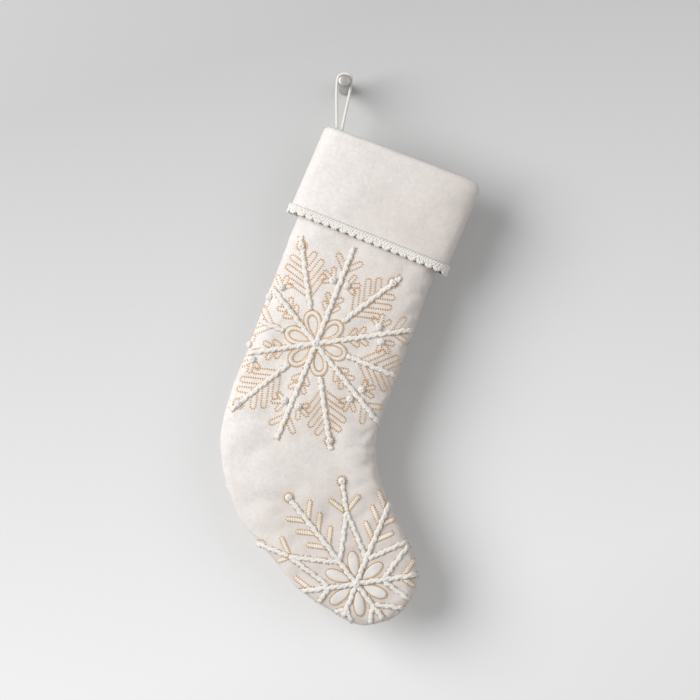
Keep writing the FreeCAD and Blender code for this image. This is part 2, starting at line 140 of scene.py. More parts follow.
class EmbroiderySizes(bpy.types.PropertyGroup):
    """Places of the snowflakes and sizes of their yarns"""
    upper_across: length("Upper across", "Upper snowflake, from the back seam", 69.5)
    upper_below: length("Upper below", "Upper snowflake, below the rim", 231.3)
    lower_behind: length("Lower behind", "Lower snowflake, back from the toe's middle", 7.1)
    lower_below: length("Lower below", "Lower snowflake, below the toe's middle", 13.6)
    turn: FloatProperty(name="Turn", description="Direction of the first petal",
                        default=math.radians(118.8), subtype="ANGLE")
    rope: length("Rope", "Width of the couched rope", 6.0)
    twist: length("Twist", "One turn of the rope's strands", 15.0)
    stitch: length("Stitch", "Pitch of the gold stitches", 2.65)
    thread: length("Thread", "Width of a gold stitch", 2.2)
    knot: length("Knot", "Width of a round knot", 8.6)
    leaf: length("Leaf", "Width of a leaf", 6.2)


class StockingColours(bpy.types.PropertyGroup):
    """Colours of the cloths, the yarns and the wall"""
    flannel: colour("Flannel", "Outer cloth", srgb(247, 243, 240))
    # Blush: the flannel's warmer clouds, and also painted warm shade towards the front seam
    blush_and_shade: colour("Blush", "Warmer cloud in the flannel", srgb(226, 217, 211))
    yarn: colour("Yarn", "White wool", srgb(236, 232, 227))
    gold: colour("Gold", "Embroidery thread", srgb(244, 194, 122))
    # Brown: real thread at the scallop joints, darkened to stand also for the shade in the gaps:
    # partly painted shade
    brown: colour("Brown", "Thread between the edging's scallops", srgb(146, 112, 84))
    satin: colour("Satin", "White satin stitch", srgb(240, 236, 232))
    cream: colour("Cream", "Satin stitch of the bars", srgb(252, 245, 234))
    cord: colour("Cord", "Hanging cord", srgb(232, 228, 221))
    lining: colour("Lining", "Inner cloth", srgb(226, 220, 212))
    wall: colour("Wall", "Wall behind the stocking", srgb(239, 239, 239))


def sizes(part):
    """The scene's own sizes of one part, or its colours."""
    return getattr(bpy.context.scene, "stocking_" + part)


# ---- Shader maths ---------------------------------------------------------------------

class Wire:
    """A node's output. Sums, differences and products with it add Math nodes."""

    def __init__(self, finish, socket):
        self.finish = finish
        self.socket = socket

    def _maths(self, operation, first, second=None):
        values = {0: first} if second is None else {0: first, 1: second}
        return self.finish.add("ShaderNodeMath", {"operation": operation}, values)

    def __add__(self, other):
        return self._maths("ADD", self, other)

    def __radd__(self, other):
        return self._maths("ADD", other, self)

    def __sub__(self, other):
        return self._maths("SUBTRACT", self, other)

    def __rsub__(self, other):
        return self._maths("SUBTRACT", other, self)

    def __mul__(self, other):
        return self._maths("MULTIPLY", self, other)

    def __rmul__(self, other):
        return self._maths("MULTIPLY", other, self)

    def sine(self):
        return self._maths("SINE", self)


class Finish:
    """A material with one main shader, filled by naming nodes and what feeds them."""

    def __init__(self, name, roughness=0.9, sheen=0.0):
        self.material = bpy.data.materials.new(name)
        self.material.use_nodes = True
        self.tree = self.material.node_tree
        self.shader = self.tree.nodes["Principled BSDF"]
        for name, value in (("Roughness", roughness), ("Specular IOR Level", 0.25),
                            ("Sheen Weight", sheen), ("Sheen Roughness", 0.6)):
            self.shader.inputs[name].default_value = value

    def add(self, kind, settings=None, values=None, output=0):
        """Adds a node: its settings first, then each socket's value or link.

        Returns the wire from one output, or the wires from all of them if output is None.
        """
        node = self.tree.nodes.new(kind)
        for key, value in (settings or {}).items():
            setattr(node, key, value)
        for key, value in (values or {}).items():
            self.feed(node.inputs[key], value)
        wires = [Wire(self, socket) for socket in node.outputs]
        return wires if output is None else wires[output]

    def feed(self, socket, value):
        """Links a wire to a socket, or sets its value."""
        if isinstance(value, Wire):
            self.tree.links.new(value.socket, socket)
        elif socket.type == "RGBA" and len(value) == 3:
            socket.default_value = (*value, 1.0)
        else:
            socket.default_value = value

    def blend(self, factor, first, second):
        """A colour between two."""
        return self.add("ShaderNodeMix", {"data_type": "RGBA"},
                        {0: factor, 6: first, 7: second}, output=2)

    def noise(self, place, scale, detail=2.0):
        """Soft noise between 0 and 1, with about scale lumps to a metre."""
        return self.add("ShaderNodeTexNoise",
                        values={"Vector": place, "Scale": scale, "Detail": detail})

    def object_place(self, tilt=0.0):
        """Object coordinates, turned so that x and z run along the upright stocking."""
        place = self.add("ShaderNodeTexCoord", output=3)
        return self.add("ShaderNodeMapping",
                        values={"Vector": place, "Rotation": (0, -tilt, 0)})

    def parts(self, place):
        """The three coordinates of a place."""
        return self.add("ShaderNodeSeparateXYZ", values={0: place}, output=None)

    def done(self, base, height, depth):
        """Connects the colour and the bump, whose height runs from 0 to 1 over a depth."""
        self.feed(self.shader.inputs["Base Color"], base)
        bump = self.add("ShaderNodeBump", values={"Height": height, "Distance": depth})
        self.feed(self.shader.inputs["Normal"], bump)
        return self.material


def wave(across, period):
    """A wave between 0 and 1 along a coordinate."""
    return (across * (2 * math.pi / period)).sine() * 0.5 + 0.5


def darker(tint, share):
    """A colour with every part of it times a share."""
    return tuple(part * share for part in tint)


def flannel_finish():
    """Brushed flannel: fine crossed threads under fibres, with pale and blush clouds.

    The blush deepens towards the front seam: painted warm shade on the side turned away from the key
    light.
    """
    tint = sizes("colours")
    finish = Finish("flannel", roughness=0.95, sheen=0.06)
    place = finish.object_place(HANG_TILT)
    x, y, z = finish.parts(place)
    cloud = finish.noise(place, 16.0, 3.0)
    mottle = finish.noise(place, 90.0, 3.0)
    fibres = finish.noise(place, 900.0, 4.0)
    slub = finish.noise(place, 240.0, 3.0)
    warp = wave(x + y * 0.6, 0.95 * MM)
    weft = wave(z, 0.85 * MM)
    # Random blush clouds, plus more blush towards the front seam (x): painted warm shade on the side
    # away from the key light
    base = finish.blend(cloud * 1.2 + x * 5.0 - 0.6, tint.flannel, tint.blush_and_shade)
    base = finish.blend(mottle * 0.25 + (slub * fibres) * 1.1 - 0.08, base,
                        darker(tint.blush_and_shade, 0.8))
    return finish.done(base, warp * 0.2 + weft * 0.2 + fibres * 0.5 + slub * 0.8, 0.5 * MM)


def lining_finish():
    """Plain cotton with an even square weave."""
    tint = sizes("colours").lining
    finish = Finish("lining cotton", roughness=0.9, sheen=0.1)
    place = finish.object_place(HANG_TILT)
    x, y, z = finish.parts(place)
    weave = wave(x + y * 0.5, 0.8 * MM) * 0.5 + wave(z, 0.8 * MM) * 0.5
    fibres = finish.noise(place, 500.0, 3.0)
    base = finish.blend(fibres * 0.7, tint, darker(tint, 0.88))
    return finish.done(base, weave * 0.6 + fibres * 0.4, 0.2 * MM)


def wadding_finish():
    """Fluffy polyester: tangled fibres of two sizes."""
    finish = Finish("wadding fleece", roughness=1.0, sheen=0.3)
    place = finish.object_place()
    fluff = finish.noise(place, 300.0, 6.0)
    tangle = finish.noise(place, 90.0, 4.0)
    base = finish.blend(fluff, srgb(244, 244, 242), srgb(222, 222, 220))
    return finish.done(base, fluff * 0.6 + tangle * 0.4, 0.8 * MM)


def yarn_finish():
    """Wool yarn: its own map runs along it and round it, and the plies slant across."""
    tint = sizes("colours").yarn
    ply = 2.6 * MM
    finish = Finish("white yarn", roughness=0.92, sheen=0.3)
    along, round_, _ = finish.parts(finish.add("ShaderNodeUVMap"))
    place = finish.object_place()
    fuzz = finish.noise(place, 1300.0, 4.0)
    plies = wave(along + round_ * ply, ply)
    # Darker where the ply wave is low, in the grooves between plies: painted shade; the fuzz also
    # adds uneven tone
    base = finish.blend((1.0 - plies) * 0.45 * fuzz + fuzz * 0.2, tint, darker(tint, 0.86))
    return finish.done(base, plies * 0.6 + fuzz * 0.5, 0.4 * MM)


def thread_finish(name, tint, deep):
    """Embroidery thread: a soft shine, filaments along each stitch, and uneven dye.

    Uneven dye darkens it here and there, and painted shade darkens it towards the front seam, both to
    a share of the tint.
    """
    finish = Finish(name, roughness=0.5, sheen=0.15)
    along, round_, _ = finish.parts(finish.add("ShaderNodeUVMap"))
    place = finish.object_place(HANG_TILT)
    x, _, _ = finish.parts(place)
    dye = finish.noise(place, 160.0, 2.0)
    filaments = wave(round_ + along * 300.0, 0.17)
    # dye is random uneven dye; the x term is painted shade, darker towards the front seam
    base = finish.blend(dye * 0.7 + x * 3.0 - 0.1, tint, darker(tint, deep))
    return finish.done(base, filaments, 0.08 * MM)


def satin_finish(name, tint):
    """Satin stitch: threads side by side, along the map's first direction."""
    finish = Finish(name, roughness=0.5, sheen=0.2)
    across, _, _ = finish.parts(finish.add("ShaderNodeUVMap"))
    place = finish.object_place()
    threads = wave(across, 0.8 * MM)
    uneven = finish.noise(place, 350.0, 2.0)
    shade = (1.0 - threads) * 0.6 * uneven + uneven * 0.15
    base = finish.blend(shade, tint, darker(tint, 0.82))
    return finish.done(base, threads * 0.8 + uneven * 0.3, 0.25 * MM)


def cord_finish():
    """Smooth round cord, with fine fibres."""
    tint = sizes("colours").cord
    finish = Finish("cotton cord", roughness=0.7, sheen=0.2)
    place = finish.object_place()
    x, y, z = finish.parts(place)
    twist = wave(z + x * 0.7 + y * 0.7, 1.5 * MM)
    fibres = finish.noise(place, 800.0, 3.0)
    base = finish.blend(fibres * 0.5, tint, darker(tint, 0.85))
    return finish.done(base, twist * 0.5 + fibres * 0.3, 0.2 * MM)


def finish_of(name):
    """The material of a name, which is made when it is first asked for."""
    tint = sizes("colours")
    makers = {
        "flannel": (flannel_finish,),
        "lining": (lining_finish,),
        "wadding": (wadding_finish,),
        "yarn": (yarn_finish,),
        "gold_thread": (thread_finish, "gold thread", tint.gold, 0.66),
        "brown_thread": (thread_finish, "brown thread", tint.brown, 0.72),
        "satin_thread": (satin_finish, "white satin", tint.satin),
        "cream": (satin_finish, "cream satin", tint.cream),
        "cord": (cord_finish,),
    }
    if name not in FINISHES:
        maker, *details = makers[name]
        FINISHES[name] = maker(*details)
    return FINISHES[name]


# ---- Meshes from arrays ---------------------------------------------------------------

def wrapped(table):
    """A table with its first column again at its end."""
    return np.concatenate((table, table[:, :1]), axis=1)


def together(*parts):
    """One array of points or map places, from coordinates that spread over rows and columns."""
    return np.stack(np.broadcast_arrays(*parts), axis=-1)


def corners_of(table, order=(0, 1, 2, 3)):
    """What a table holds at the four corners of each face, which go round it."""
    corners = (table[:-1, :-1], table[:-1, 1:], table[1:, 1:], table[1:, :-1])
    return np.stack([corners[number] for number in order], axis=2)


def numbered(rows, columns):
    """The numbers of a grid's points."""
    return np.arange(rows * columns).reshape(rows, columns)


def placed(name, data):
    """A new object in the scene."""
    piece = bpy.data.objects.new(name, data)
    bpy.context.scene.collection.objects.link(piece)
    return piece


class Cloth:
    """Gathers points, four-sided faces and their map, and makes one mesh of them."""

    def __init__(self):
        self.points = []
        self.faces = []
        self.maps = []
        self.count = 0

    def add(self, points, faces, uv):
        """uv holds one pair for each corner of each face."""
        self.points.append(points.reshape(-1, 3))
        self.faces.append(faces.reshape(-1, 4) + self.count)
        self.maps.append(uv.reshape(-1, 2))
        self.count += len(self.points[-1])

    def grid(self, points, uv, wrap=False, flip=False):
        """A surface on a grid of rows and columns; wrap joins the last column to the first."""
        index = numbered(*points.shape[:2])
        if wrap:
            index = wrapped(index)
        order = (3, 2, 1, 0) if flip else (0, 1, 2, 3)
        self.add(points, corners_of(index, order), corners_of(uv, order))

    def make(self, name, body, slot, nodes=(), finish=None, merge=True):
        """One object from all that was added, with coinciding points merged."""
        points = hang(np.concatenate(self.points))
        faces = np.concatenate(self.faces)
        mesh = bpy.data.meshes.new(name)
        mesh.vertices.add(len(points))
        mesh.vertices.foreach_set("co", points.ravel())
        mesh.loops.add(faces.size)
        mesh.loops.foreach_set("vertex_index", faces.ravel())
        mesh.polygons.add(len(faces))
        mesh.polygons.foreach_set("loop_start", np.arange(0, faces.size, 4))
        mesh.update(calc_edges=True)
        layer = mesh.uv_layers.new(name="UVMap")
        layer.data.foreach_set("uv", np.concatenate(self.maps).ravel())
        if merge:
            tidy_mesh(mesh)
        mesh.validate()
        mesh.shade_smooth()
        piece = placed(name, mesh)
        mesh.materials.append(finish_of(finish or slot))
        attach(piece, body)
        if nodes:
            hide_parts(*nodes)
        return piece


def tidy_mesh(mesh):
    """Merges points that coincide, which closes poles and the edges between two grids."""
    work = bmesh.new()
    work.from_mesh(mesh)
    bmesh.ops.remove_doubles(work, verts=work.verts, dist=1e-6)
    work.to_mesh(mesh)
    work.free()


def tilted(points, start, end, tilt):
    """Moves the knot from start to end, and turns the points about it by the tilt."""
    x = points[..., 0] - start[0]
    z = points[..., 2] - start[1]
    turned = points.copy()
    turned[..., 0] = end[0] + x * math.cos(tilt) + z * math.sin(tilt)
    turned[..., 2] = end[1] - x * math.sin(tilt) + z * math.cos(tilt)
    return turned


def hang(points):
    """Turns upright points (across, ahead, up) to the way the stocking hangs."""
    return tilted(points, PIVOT, KNOT, HANG_TILT)


def upright(points):
    """The reverse of hang."""
    return tilted(points, KNOT, PIVOT, -HANG_TILT)


def unit(vectors):
    """Vectors over their own lengths."""
    return vectors / np.maximum(np.linalg.norm(vectors, axis=-1, keepdims=True), 1e-12)


def ease(x):
    """0 below 0, 1 above 1, and a smooth step between."""
    x = np.clip(x, 0.0, 1.0)
    return x * x * (3 - 2 * x)


# ---- Shape of the leg -----------------------------------------------------------------

def polar(centre, radius, degrees):
    """The flat point at a radius and an angle from a centre."""
    angle = math.radians(degrees)
    return np.array((centre[0] + radius * math.cos(angle), centre[1] + radius * math.sin(angle)))


def leg_rungs():
    """Rows of back seam point and front seam point, from the rim to the toe's tip.

    They go down the straight leg, round heel and instep together, along the foot, and round
    both sides of the toe, whose places are degrees from level.
    """
    s = sizes("leg")
    c = sizes("cuff")
    heel = (s.heel, -s.leg - s.heel_lag)
    instep = (s.width + s.instep, -s.leg)
    toe = (s.reach - s.toe, -s.leg - s.drop + s.toe)
    ball = np.array((toe[0] - s.ball_back, toe[1] - s.ball_drop))
    instep_end = polar(instep, s.instep, 180 + INSTEP_TURN)
    toe_top = polar(toe, s.toe, 45)
    mid = -(c.height + s.leg) / 2
    pairs = [
        ((-c.flare_back, 0), (s.width + c.flare_front, 0)),
        ((-c.flare_back / 2, -c.height / 2), (s.width + c.flare_front / 2, -c.height / 2)),
        ((0, -c.height), (s.width, -c.height)),
        ((0, mid), (s.width, mid)),
        ((0, -s.leg), (s.width, -s.leg + s.heel_lag / 2)),
    ]
    for share in (0.0, 0.25, 0.5, 0.75, 1.0):
        pairs.append((polar(heel, s.heel, 180 + HEEL_TURN * share),
                      polar(instep, s.instep, 180 + INSTEP_TURN * (0.1 + 0.9 * share))))
    pairs.append(((pairs[-1][0] + ball) / 2, instep_end + (toe_top - instep_end) * 0.33))
    pairs.append((ball, instep_end + (toe_top - instep_end) * 0.66))
    for low, high in ((-108, 45), (-86, 25), (-66, 7), (-49, -8), (-38, -18), (-28, -28)):
        pairs.append((polar(toe, s.toe, low), polar(toe, s.toe, high)))
    return np.array([np.concatenate(pair) for pair in pairs])


def curve_through(s, rows, at):
    """Natural cubic spline through rows at the places s, read at other places."""
    n = len(s)
    step = np.diff(s)
    matrix = np.eye(n)
    inner = np.arange(1, n - 1)
    matrix[inner, inner - 1] = step[:-1]
    matrix[inner, inner] = 2 * (step[:-1] + step[1:])
    matrix[inner, inner + 1] = step[1:]
    slope = np.diff(rows, axis=0) / step[:, None]
    right = np.zeros_like(rows)
    right[1:-1] = 6 * (slope[1:] - slope[:-1])
    bend = np.linalg.solve(matrix, right)
    k = np.clip(np.searchsorted(s, at) - 1, 0, n - 2)
    x = (at - s[k])[:, None]
    gap = step[k][:, None]
    first = slope[k] - gap * (2 * bend[k] + bend[k + 1]) / 6
    return rows[k] + x * (first + x * (bend[k] / 2 + x * (bend[k + 1] - bend[k]) / (6 * gap)))


def section_shape(count):
    """Across share and rise of a section: a cubic B-spline with seven poles, even in its knots.

    The sides rise steeply and the middle is flat. Returns two arrays.
    """
    u = np.linspace(0, 1 - 1e-9, count)
    knots = np.concatenate(([0.0] * 3, np.linspace(0, 1, 5), [1.0] * 3))
    basis = [((knots[i] <= u) & (u < knots[i + 1])).astype(float) for i in range(10)]
    for degree in (1, 2, 3):
        higher = []
        for i in range(10 - degree):
            rise = knots[i + degree] - knots[i]
            fall = knots[i + degree + 1] - knots[i + 1]
            value = np.zeros_like(u)
            if rise > 0:
                value = value + (u - knots[i]) / rise * basis[i]
            if fall > 0:
                value = value + (knots[i + degree + 1] - u) / fall * basis[i + 1]
            higher.append(value)
        basis = higher
    across = sum(part * pole for part, pole in zip(basis, (0, 0, 0.1, 0.5, 0.9, 1, 1)))
    rise = sum(part * pole for part, pole in zip(basis, (0, 0.6, 1, 1, 1, 0.6, 0)))
    across[-1] = 1.0
    rise[-1] = 0.0
    return across, rise


def from_seam(columns):
    """How far each column is from the nearer seam, as a share of the section."""
    count = np.arange(columns)
    return np.minimum(count, count[::-1]) / (columns - 1)


def ruled(back, front, depth, across, rise):
    """Rows of points from back to front seam points, raised by depth times the rise."""
    spread = back[:, None, :] + (front - back)[:, None, :] * across[None, :, None]
    ahead = depth[:, None] * rise[None, :]
    return np.stack((spread[..., 0], ahead, spread[..., 1]), axis=-1)


def row_places(table, rows, top=0.0):
    """How far down the leg each rung lies, and each row of a grid.

    The last 22 rows share the last 4.5% of the way, and close up towards the toe's tip.
    """
    steps = np.diff(table, axis=0)
    reach = (np.linalg.norm(steps[:, :2], axis=1) + np.linalg.norm(steps[:, 2:], axis=1)) / 2
    place = np.concatenate(([0.0], np.cumsum(reach)))
    close = 22
    even = np.linspace(-top / place[-1], 0.955, rows - close)
    share = np.concatenate((even, 1 - 0.045 * np.linspace(1, 0, close + 1)[1:] ** 1.7))
    return place, share * place[-1]


def between(table, row, column):
    """Values of a grid at places between its points, from the four round each place."""
    rows, columns = table.shape[:2]
    r = np.clip(row.astype(int), 0, rows - 2)
    c = np.clip(column.astype(int), 0, columns - 2)
    y = np.clip(row - r, 0, 1)[..., None]
    x = np.clip(column - c, 0, 1)[..., None]
    low = table[r, c] * (1 - x) + table[r, c + 1] * x
    high = table[r + 1, c] * (1 - x) + table[r + 1, c + 1] * x
    return low * (1 - y) + high * y


def leg_grid(side, level, rows=LEG_ROWS, columns=LEG_COLUMNS, top=0.0):
    """One side of the leg, a level inside its outer face, as rows of points down the leg.

    side is -1 for the front and 1 for the back. The seam lines are moved inwards, square to
    themselves, by the level, and the bulge is made less by it. Where the toe narrows, the
    bulge falls as a power curve of its width.
    """
    s = sizes("leg")
    table = leg_rungs()
    place, at = row_places(table, rows, top)
    fine = curve_through(place, table, at)
    back = fine[:, :2]
    front = fine[:, 2:]
    width = np.linalg.norm(front - back, axis=1)
    slim = np.clip(1 - width / (2 * s.toe), 0, 1)
    power = 2.6
    fullness = (1 - slim ** power) ** (1 / power)
    shrink = np.minimum(level, width * 0.45)[:, None]
    for seam, sign in ((back, 1.0), (front, -1.0)):
        run = unit(np.gradient(seam, axis=0))
        seam += sign * shrink * np.stack((-run[:, 1], run[:, 0]), axis=-1)
    bulge = s.front if side < 0 else s.back
    depth = side * (bulge - level) * fullness
    return ruled(back, front, depth, *section_shape(columns))


def clouds(points, smallest, largest, seed, waves=28):
    """Soft noise between about -1 and 1: a sum of waves of random length and direction."""
    chance = np.random.default_rng(seed)
    total = np.zeros(points.shape[:-1])
    for _ in range(waves):
        size = chance.uniform(smallest, largest)
        heading = chance.uniform(0, 2 * math.pi)
        phase = chance.uniform(0, 2 * math.pi)
        run = points[..., 0] * math.cos(heading) + points[..., 2] * math.sin(heading)
        total += np.sin(run * 2 * math.pi / size + phase)
    return total / math.sqrt(waves)


def crease(points, start, end, width, depth):
    """A fold between two upright points: a ridge with a valley beside it, fading at its ends."""
    start = np.array(start) * MM
    end = np.array(end) * MM
    run = end - start
    size = np.linalg.norm(run)
    flat = points[..., [0, 2]] - start
    along = (flat @ run) / size ** 2
    off = (flat @ np.array((-run[1], run[0]))) / size / (width * MM)
    fade = ease(along * 4 + 0.6) * ease((1 - along) * 2.2)
    return depth * MM * fade * off * np.exp(0.5 - off ** 2) * 1.4


FRONT_CREASES = [
    ((178, -318), (138, -331), 3.6, 1.2), ((180, -337), (158, -346), 6.0, 0.5),
    ((168, -290), (146, -296), 6.0, 0.4), ((168, -137), (140, -150), 4.5, 1.1),
    ((168, -160), (147, -172), 5.0, 0.6), ((1, -255), (24, -262), 5.0, 0.6),
    ((4, -330), (34, -336), 6.0, 0.6), ((206, -382), (180, -392), 5.0, 0.6),
]
BACK_CREASES = [
    ((178, -322), (120, -345), 6.0, 1.8), ((186, -345), (140, -372), 6.0, 1.4),
    ((4, -250), (60, -262), 7.0, 1.2), ((166, -180), (120, -196), 6.0, 1.3),
    ((10, -350), (60, -372), 7.0, 1.2), ((168, -262), (120, -278), 6.0, 1.3),
]


def rumple(points, side, level, puff):
    """Adds the cloth's softness: how it is puffed, clouds, creases, and puckers at the seams.

    Everything fades to nothing at the seam itself, and lessens with the level.
    """
    s = sizes("leg")
    edge = from_seam(points.shape[1])
    inside = ease(edge * 9)[None, :]
    calm = 1 - 0.6 * min(1, level / s.panel / 3)
    height = s.rumple * clouds(points, 45 * MM, 110 * MM, 5 + side) * inside
    height = height + 0.35 * s.rumple * clouds(points, 16 * MM, 34 * MM, 15 + side) * inside
    for start, end, width, depth in (FRONT_CREASES if side < 0 else BACK_CREASES):
        height = height + crease(points, start, end, width, depth) * ease(edge * 14)[None, :]
    near_seam = np.exp(-((edge - 0.045) / 0.035) ** 2)[None, :] * ease(edge * 40)[None, :]
    ripple = clouds(points, 7 * MM, 15 * MM, 25 + side)
    height = height + s.pucker * near_seam * ripple * 0.7
    normal = outward(points, side)
    return points + (normal * height[..., None] + puff) * calm


def outward(points, side):
    """Unit normals on the side's outer face: the cross product of a grid's two directions."""
    down = np.gradient(points, axis=0)
    along = np.gradient(points, axis=1)
    normal = unit(np.cross(down, along))
    facing = np.sign(np.sum(normal[..., 1])) * side
    return normal * (facing if facing != 0 else 1)


def embroidered_lines():
    """Flat lines of all the ropes: each snowflake's arms, and the forks of the lower one."""
    lines = []
    for heading in arm_headings(0):
        lines.append(upper_arm(heading))
        lines.extend(fork_lines(heading))
    for heading in arm_headings(-30):
        lines.append(upper_spoke(heading))
        lines.append(lower_spoke(heading))
    return lines


def sewn_points(points, side):
    """Which points of a face are held: the seams, the rim, the toe's tip and the ropes."""
    held = np.zeros(points.shape[:2], bool)
    held[:3] = True
    held[-2:] = True
    held[:, 0] = True
    held[:, -1] = True
    if side < 0:
        flat = points[..., [0, 2]]
        for first, last in embroidered_lines():
            run = last - first
            share = np.clip((flat - first) @ run / (run @ run), 0, 1)
            gap = np.linalg.norm(flat - first - share[..., None] * run, axis=-1)
            held |= gap < ROPE_HOLD
    return held


def blown_up(start, held, pressure, slack):
    """Where a Cloth simulation puts a face's points, held where it is sewn.

    The cloth is cut too large by the slack and blown outwards, so it puffs and creases.
    """
    faces = corners_of(numbered(*start.shape[:2]))
    if start[..., 1].sum() < 0:
        faces = faces[..., ::-1]
    mesh = bpy.data.meshes.new("padding")
    mesh.from_pydata(start.reshape(-1, 3).tolist(), [], faces.reshape(-1, 4).tolist())
    pad = placed("padding", mesh)
    scene = bpy.context.scene
    group = pad.vertex_groups.new(name="sewn")
    group.add(np.flatnonzero(held.ravel()).tolist(), 1.0, "REPLACE")
    cloth = pad.modifiers.new("padding", "CLOTH").settings
    for setting, value in (("quality", 6), ("mass", 0.2), ("tension_stiffness", 25),
                           ("compression_stiffness", 25), ("shear_stiffness", 8),
                           ("bending_stiffness", 0.4), ("shrink_min", -slack),
                           ("use_pressure", True), ("uniform_pressure_force", pressure),
                           ("vertex_group_mass", "sewn")):
        setattr(cloth, setting, value)
    cloth.effector_weights.gravity = 0.0
    for moment in range(1, 21):
        scene.frame_set(moment)
    settled = pad.evaluated_get(bpy.context.evaluated_depsgraph_get()).data
    after = np.empty(start.size)
    settled.vertices.foreach_get("co", after)
    scene.frame_set(1)
    bpy.data.objects.remove(pad)
    bpy.data.meshes.remove(mesh)
    return after.reshape(start.shape)


def padding(side):
    """How the padding moves a face's points, on a coarse grid, and the places of its rows."""
    name = f"padding {side}"
    if name not in RUMPLE:
        rows = 132
        start = leg_grid(side, 0.0, rows=rows, columns=48)[:-1]
        places = row_places(leg_rungs(), rows)[1][:-1]
        move = np.zeros_like(start)
        uneven = 0.2 * MM * clouds(start, 12 * MM, 40 * MM, 3)
        after = blown_up(start + outward(start, side) * uneven[..., None],
                         sewn_points(start, side), pressure=4.0, slack=0.03)
        move = after - start
        cap = sizes("leg").puff
        size = np.linalg.norm(move, axis=-1, keepdims=True)
        move = np.round(move * cap * np.tanh(size / cap) / np.maximum(size, 1e-9), 6)
        RUMPLE[name] = (move, places)
    return RUMPLE[name]


def puffed(side, rows, columns, top):
    """The padding's move for every point of a finer grid, softened once each way."""
    move, places = padding(side)
    row = np.interp(row_places(leg_rungs(), rows, top)[1], places, np.arange(len(places)))
    column = np.linspace(0, move.shape[1] - 1, columns)
    fine = between(move, *np.meshgrid(row, column, indexing="ij"))
    for _ in range(2):
        fine[1:-1] = (fine[:-2] + 2 * fine[1:-1] + fine[2:]) / 4
        fine[:, 1:-1] = (fine[:, :-2] + 2 * fine[:, 1:-1] + fine[:, 2:]) / 4
    return fine


def leg_face(side, level, top=0.0):
    """One side of the leg with all its softness."""
    points = leg_grid(side, level, top=top)
    return rumple(points, side, level, puffed(side, LEG_ROWS, LEG_COLUMNS, top))


def flat_map(points):
    """The map of a sewn layer: across and up, in metres."""
    return points[..., [0, 2]].copy()


def shell(cloth, outer, inner, side):
    """A closed layer between two grids of one size, with its edges joined all round."""
    flip = side < 0
    cloth.grid(outer, flat_map(outer), flip=flip)
    cloth.grid(inner, flat_map(inner), flip=not flip)
    for first, second, turned in (
            (outer[:, 0], inner[:, 0], flip), (outer[:, -1], inner[:, -1], not flip),
            (outer[0], inner[0], not flip), (outer[-1], inner[-1], flip)):
        strip = np.stack((first, second))
        cloth.grid(strip, flat_map(strip), flip=turned)


# ---- Laying work on the front ----------------------------------------------------------

class Front:
    """The settled front face, read at any upright (across, up) place."""

    def __init__(self):
        self.grid = leg_face(-1, 0.0)
        self.normals = outward(self.grid, -1)

    def find(self, places):
        """Row and column under each place: Newton steps from the nearest grid point."""
        flat = self.grid[..., [0, 2]]
        rows, columns = flat.shape[:2]
        skip = (6, 4)
        coarse = flat[::skip[0], ::skip[1]]
        gaps = np.linalg.norm(places[:, None, :] - coarse.reshape(1, -1, 2), axis=2)
        nearest = np.argmin(gaps, axis=1)
        row = (nearest // coarse.shape[1] * skip[0]).astype(float)
        column = (nearest % coarse.shape[1] * skip[1]).astype(float)
        for _ in range(12):
            here = between(flat, row, column)
            miss = places - here
            step_r = between(flat, row + 0.5, column) - between(flat, row - 0.5, column)
            step_c = between(flat, row, column + 0.5) - between(flat, row, column - 0.5)
            size = step_r[:, 0] * step_c[:, 1] - step_r[:, 1] * step_c[:, 0]
            size = np.where(np.abs(size) < 1e-12, 1e-12, size)
            row += np.clip((miss[:, 0] * step_c[:, 1] - miss[:, 1] * step_c[:, 0]) / size, -9, 9)
            column += np.clip((step_r[:, 0] * miss[:, 1] - step_r[:, 1] * miss[:, 0]) / size, -9, 9)
            row = np.clip(row, 0.5, rows - 1.5)
            column = np.clip(column, 0.5, columns - 1.5)
        return row, column

    def lay(self, places):
        """Points on the face, its outward normals there, and which places are on it."""
        row, column = self.find(places)
        points = between(self.grid, row, column)
        normals = unit(between(self.normals, row, column))
        miss = np.linalg.norm(points[:, [0, 2]] - places, axis=1)
        inside = (column > 1.5) & (column < self.grid.shape[1] - 2.5)
        return points, normals, (miss < 0.6 * MM) & inside


def front_face():
    """The front face, which is made when it is first asked for."""
    if "front" not in RUMPLE:
        RUMPLE["front"] = Front()
    return RUMPLE["front"]


def resample(line, step, closed=False):
    """Evenly spaced points along a flat line, as near to the step as fits it."""
    if closed:
        line = np.concatenate((line, line[:1]))
    run = np.concatenate(([0.0], np.cumsum(np.linalg.norm(np.diff(line, axis=0), axis=1))))
    count = max(2, int(round(run[-1] / step)) + 1)
    at = np.linspace(0, run[-1], count)
    if closed:
        at = at[:-1]
    return np.column_stack([np.interp(at, run, line[:, i]) for i in range(line.shape[1])])


# ---- Yarn, stitches and knots ----------------------------------------------------------

def tube(cloth, path, normals, radius, flat=1.0, ring=8):
    """A round yarn along a path: rings square to it, closed to a point at both ends.

    radius is one number or one for each point of the path. flat is height over width.
    """
    n = len(path)
    run = unit(np.gradient(path, axis=0))
    side = unit(np.cross(run, normals))
    up = np.cross(side, run)
    radius = np.broadcast_to(np.asarray(radius, float), (n,)).copy()
    reach = np.concatenate(([0.0], np.cumsum(np.linalg.norm(np.diff(path, axis=0), axis=1))))
    thick = radius.max()
    from_end = np.minimum(reach, reach[-1] - reach)
    round_end = np.sqrt(np.clip(1 - (1 - np.clip(from_end / thick, 0, 1)) ** 2, 0, 1))
    radius = radius * round_end
    turn = np.linspace(0, 2 * math.pi, ring + 1)
    offset = (np.cos(turn)[None, :, None] * side[:, None, :]
              + np.sin(turn)[None, :, None] * up[:, None, :] * flat)
    points = path[:, None, :] + radius[:, None, None] * offset
    uv = together(reach[:, None], (turn / (2 * math.pi))[None, :])
    cloth.grid(points[:, :-1], uv, wrap=True, flip=True)


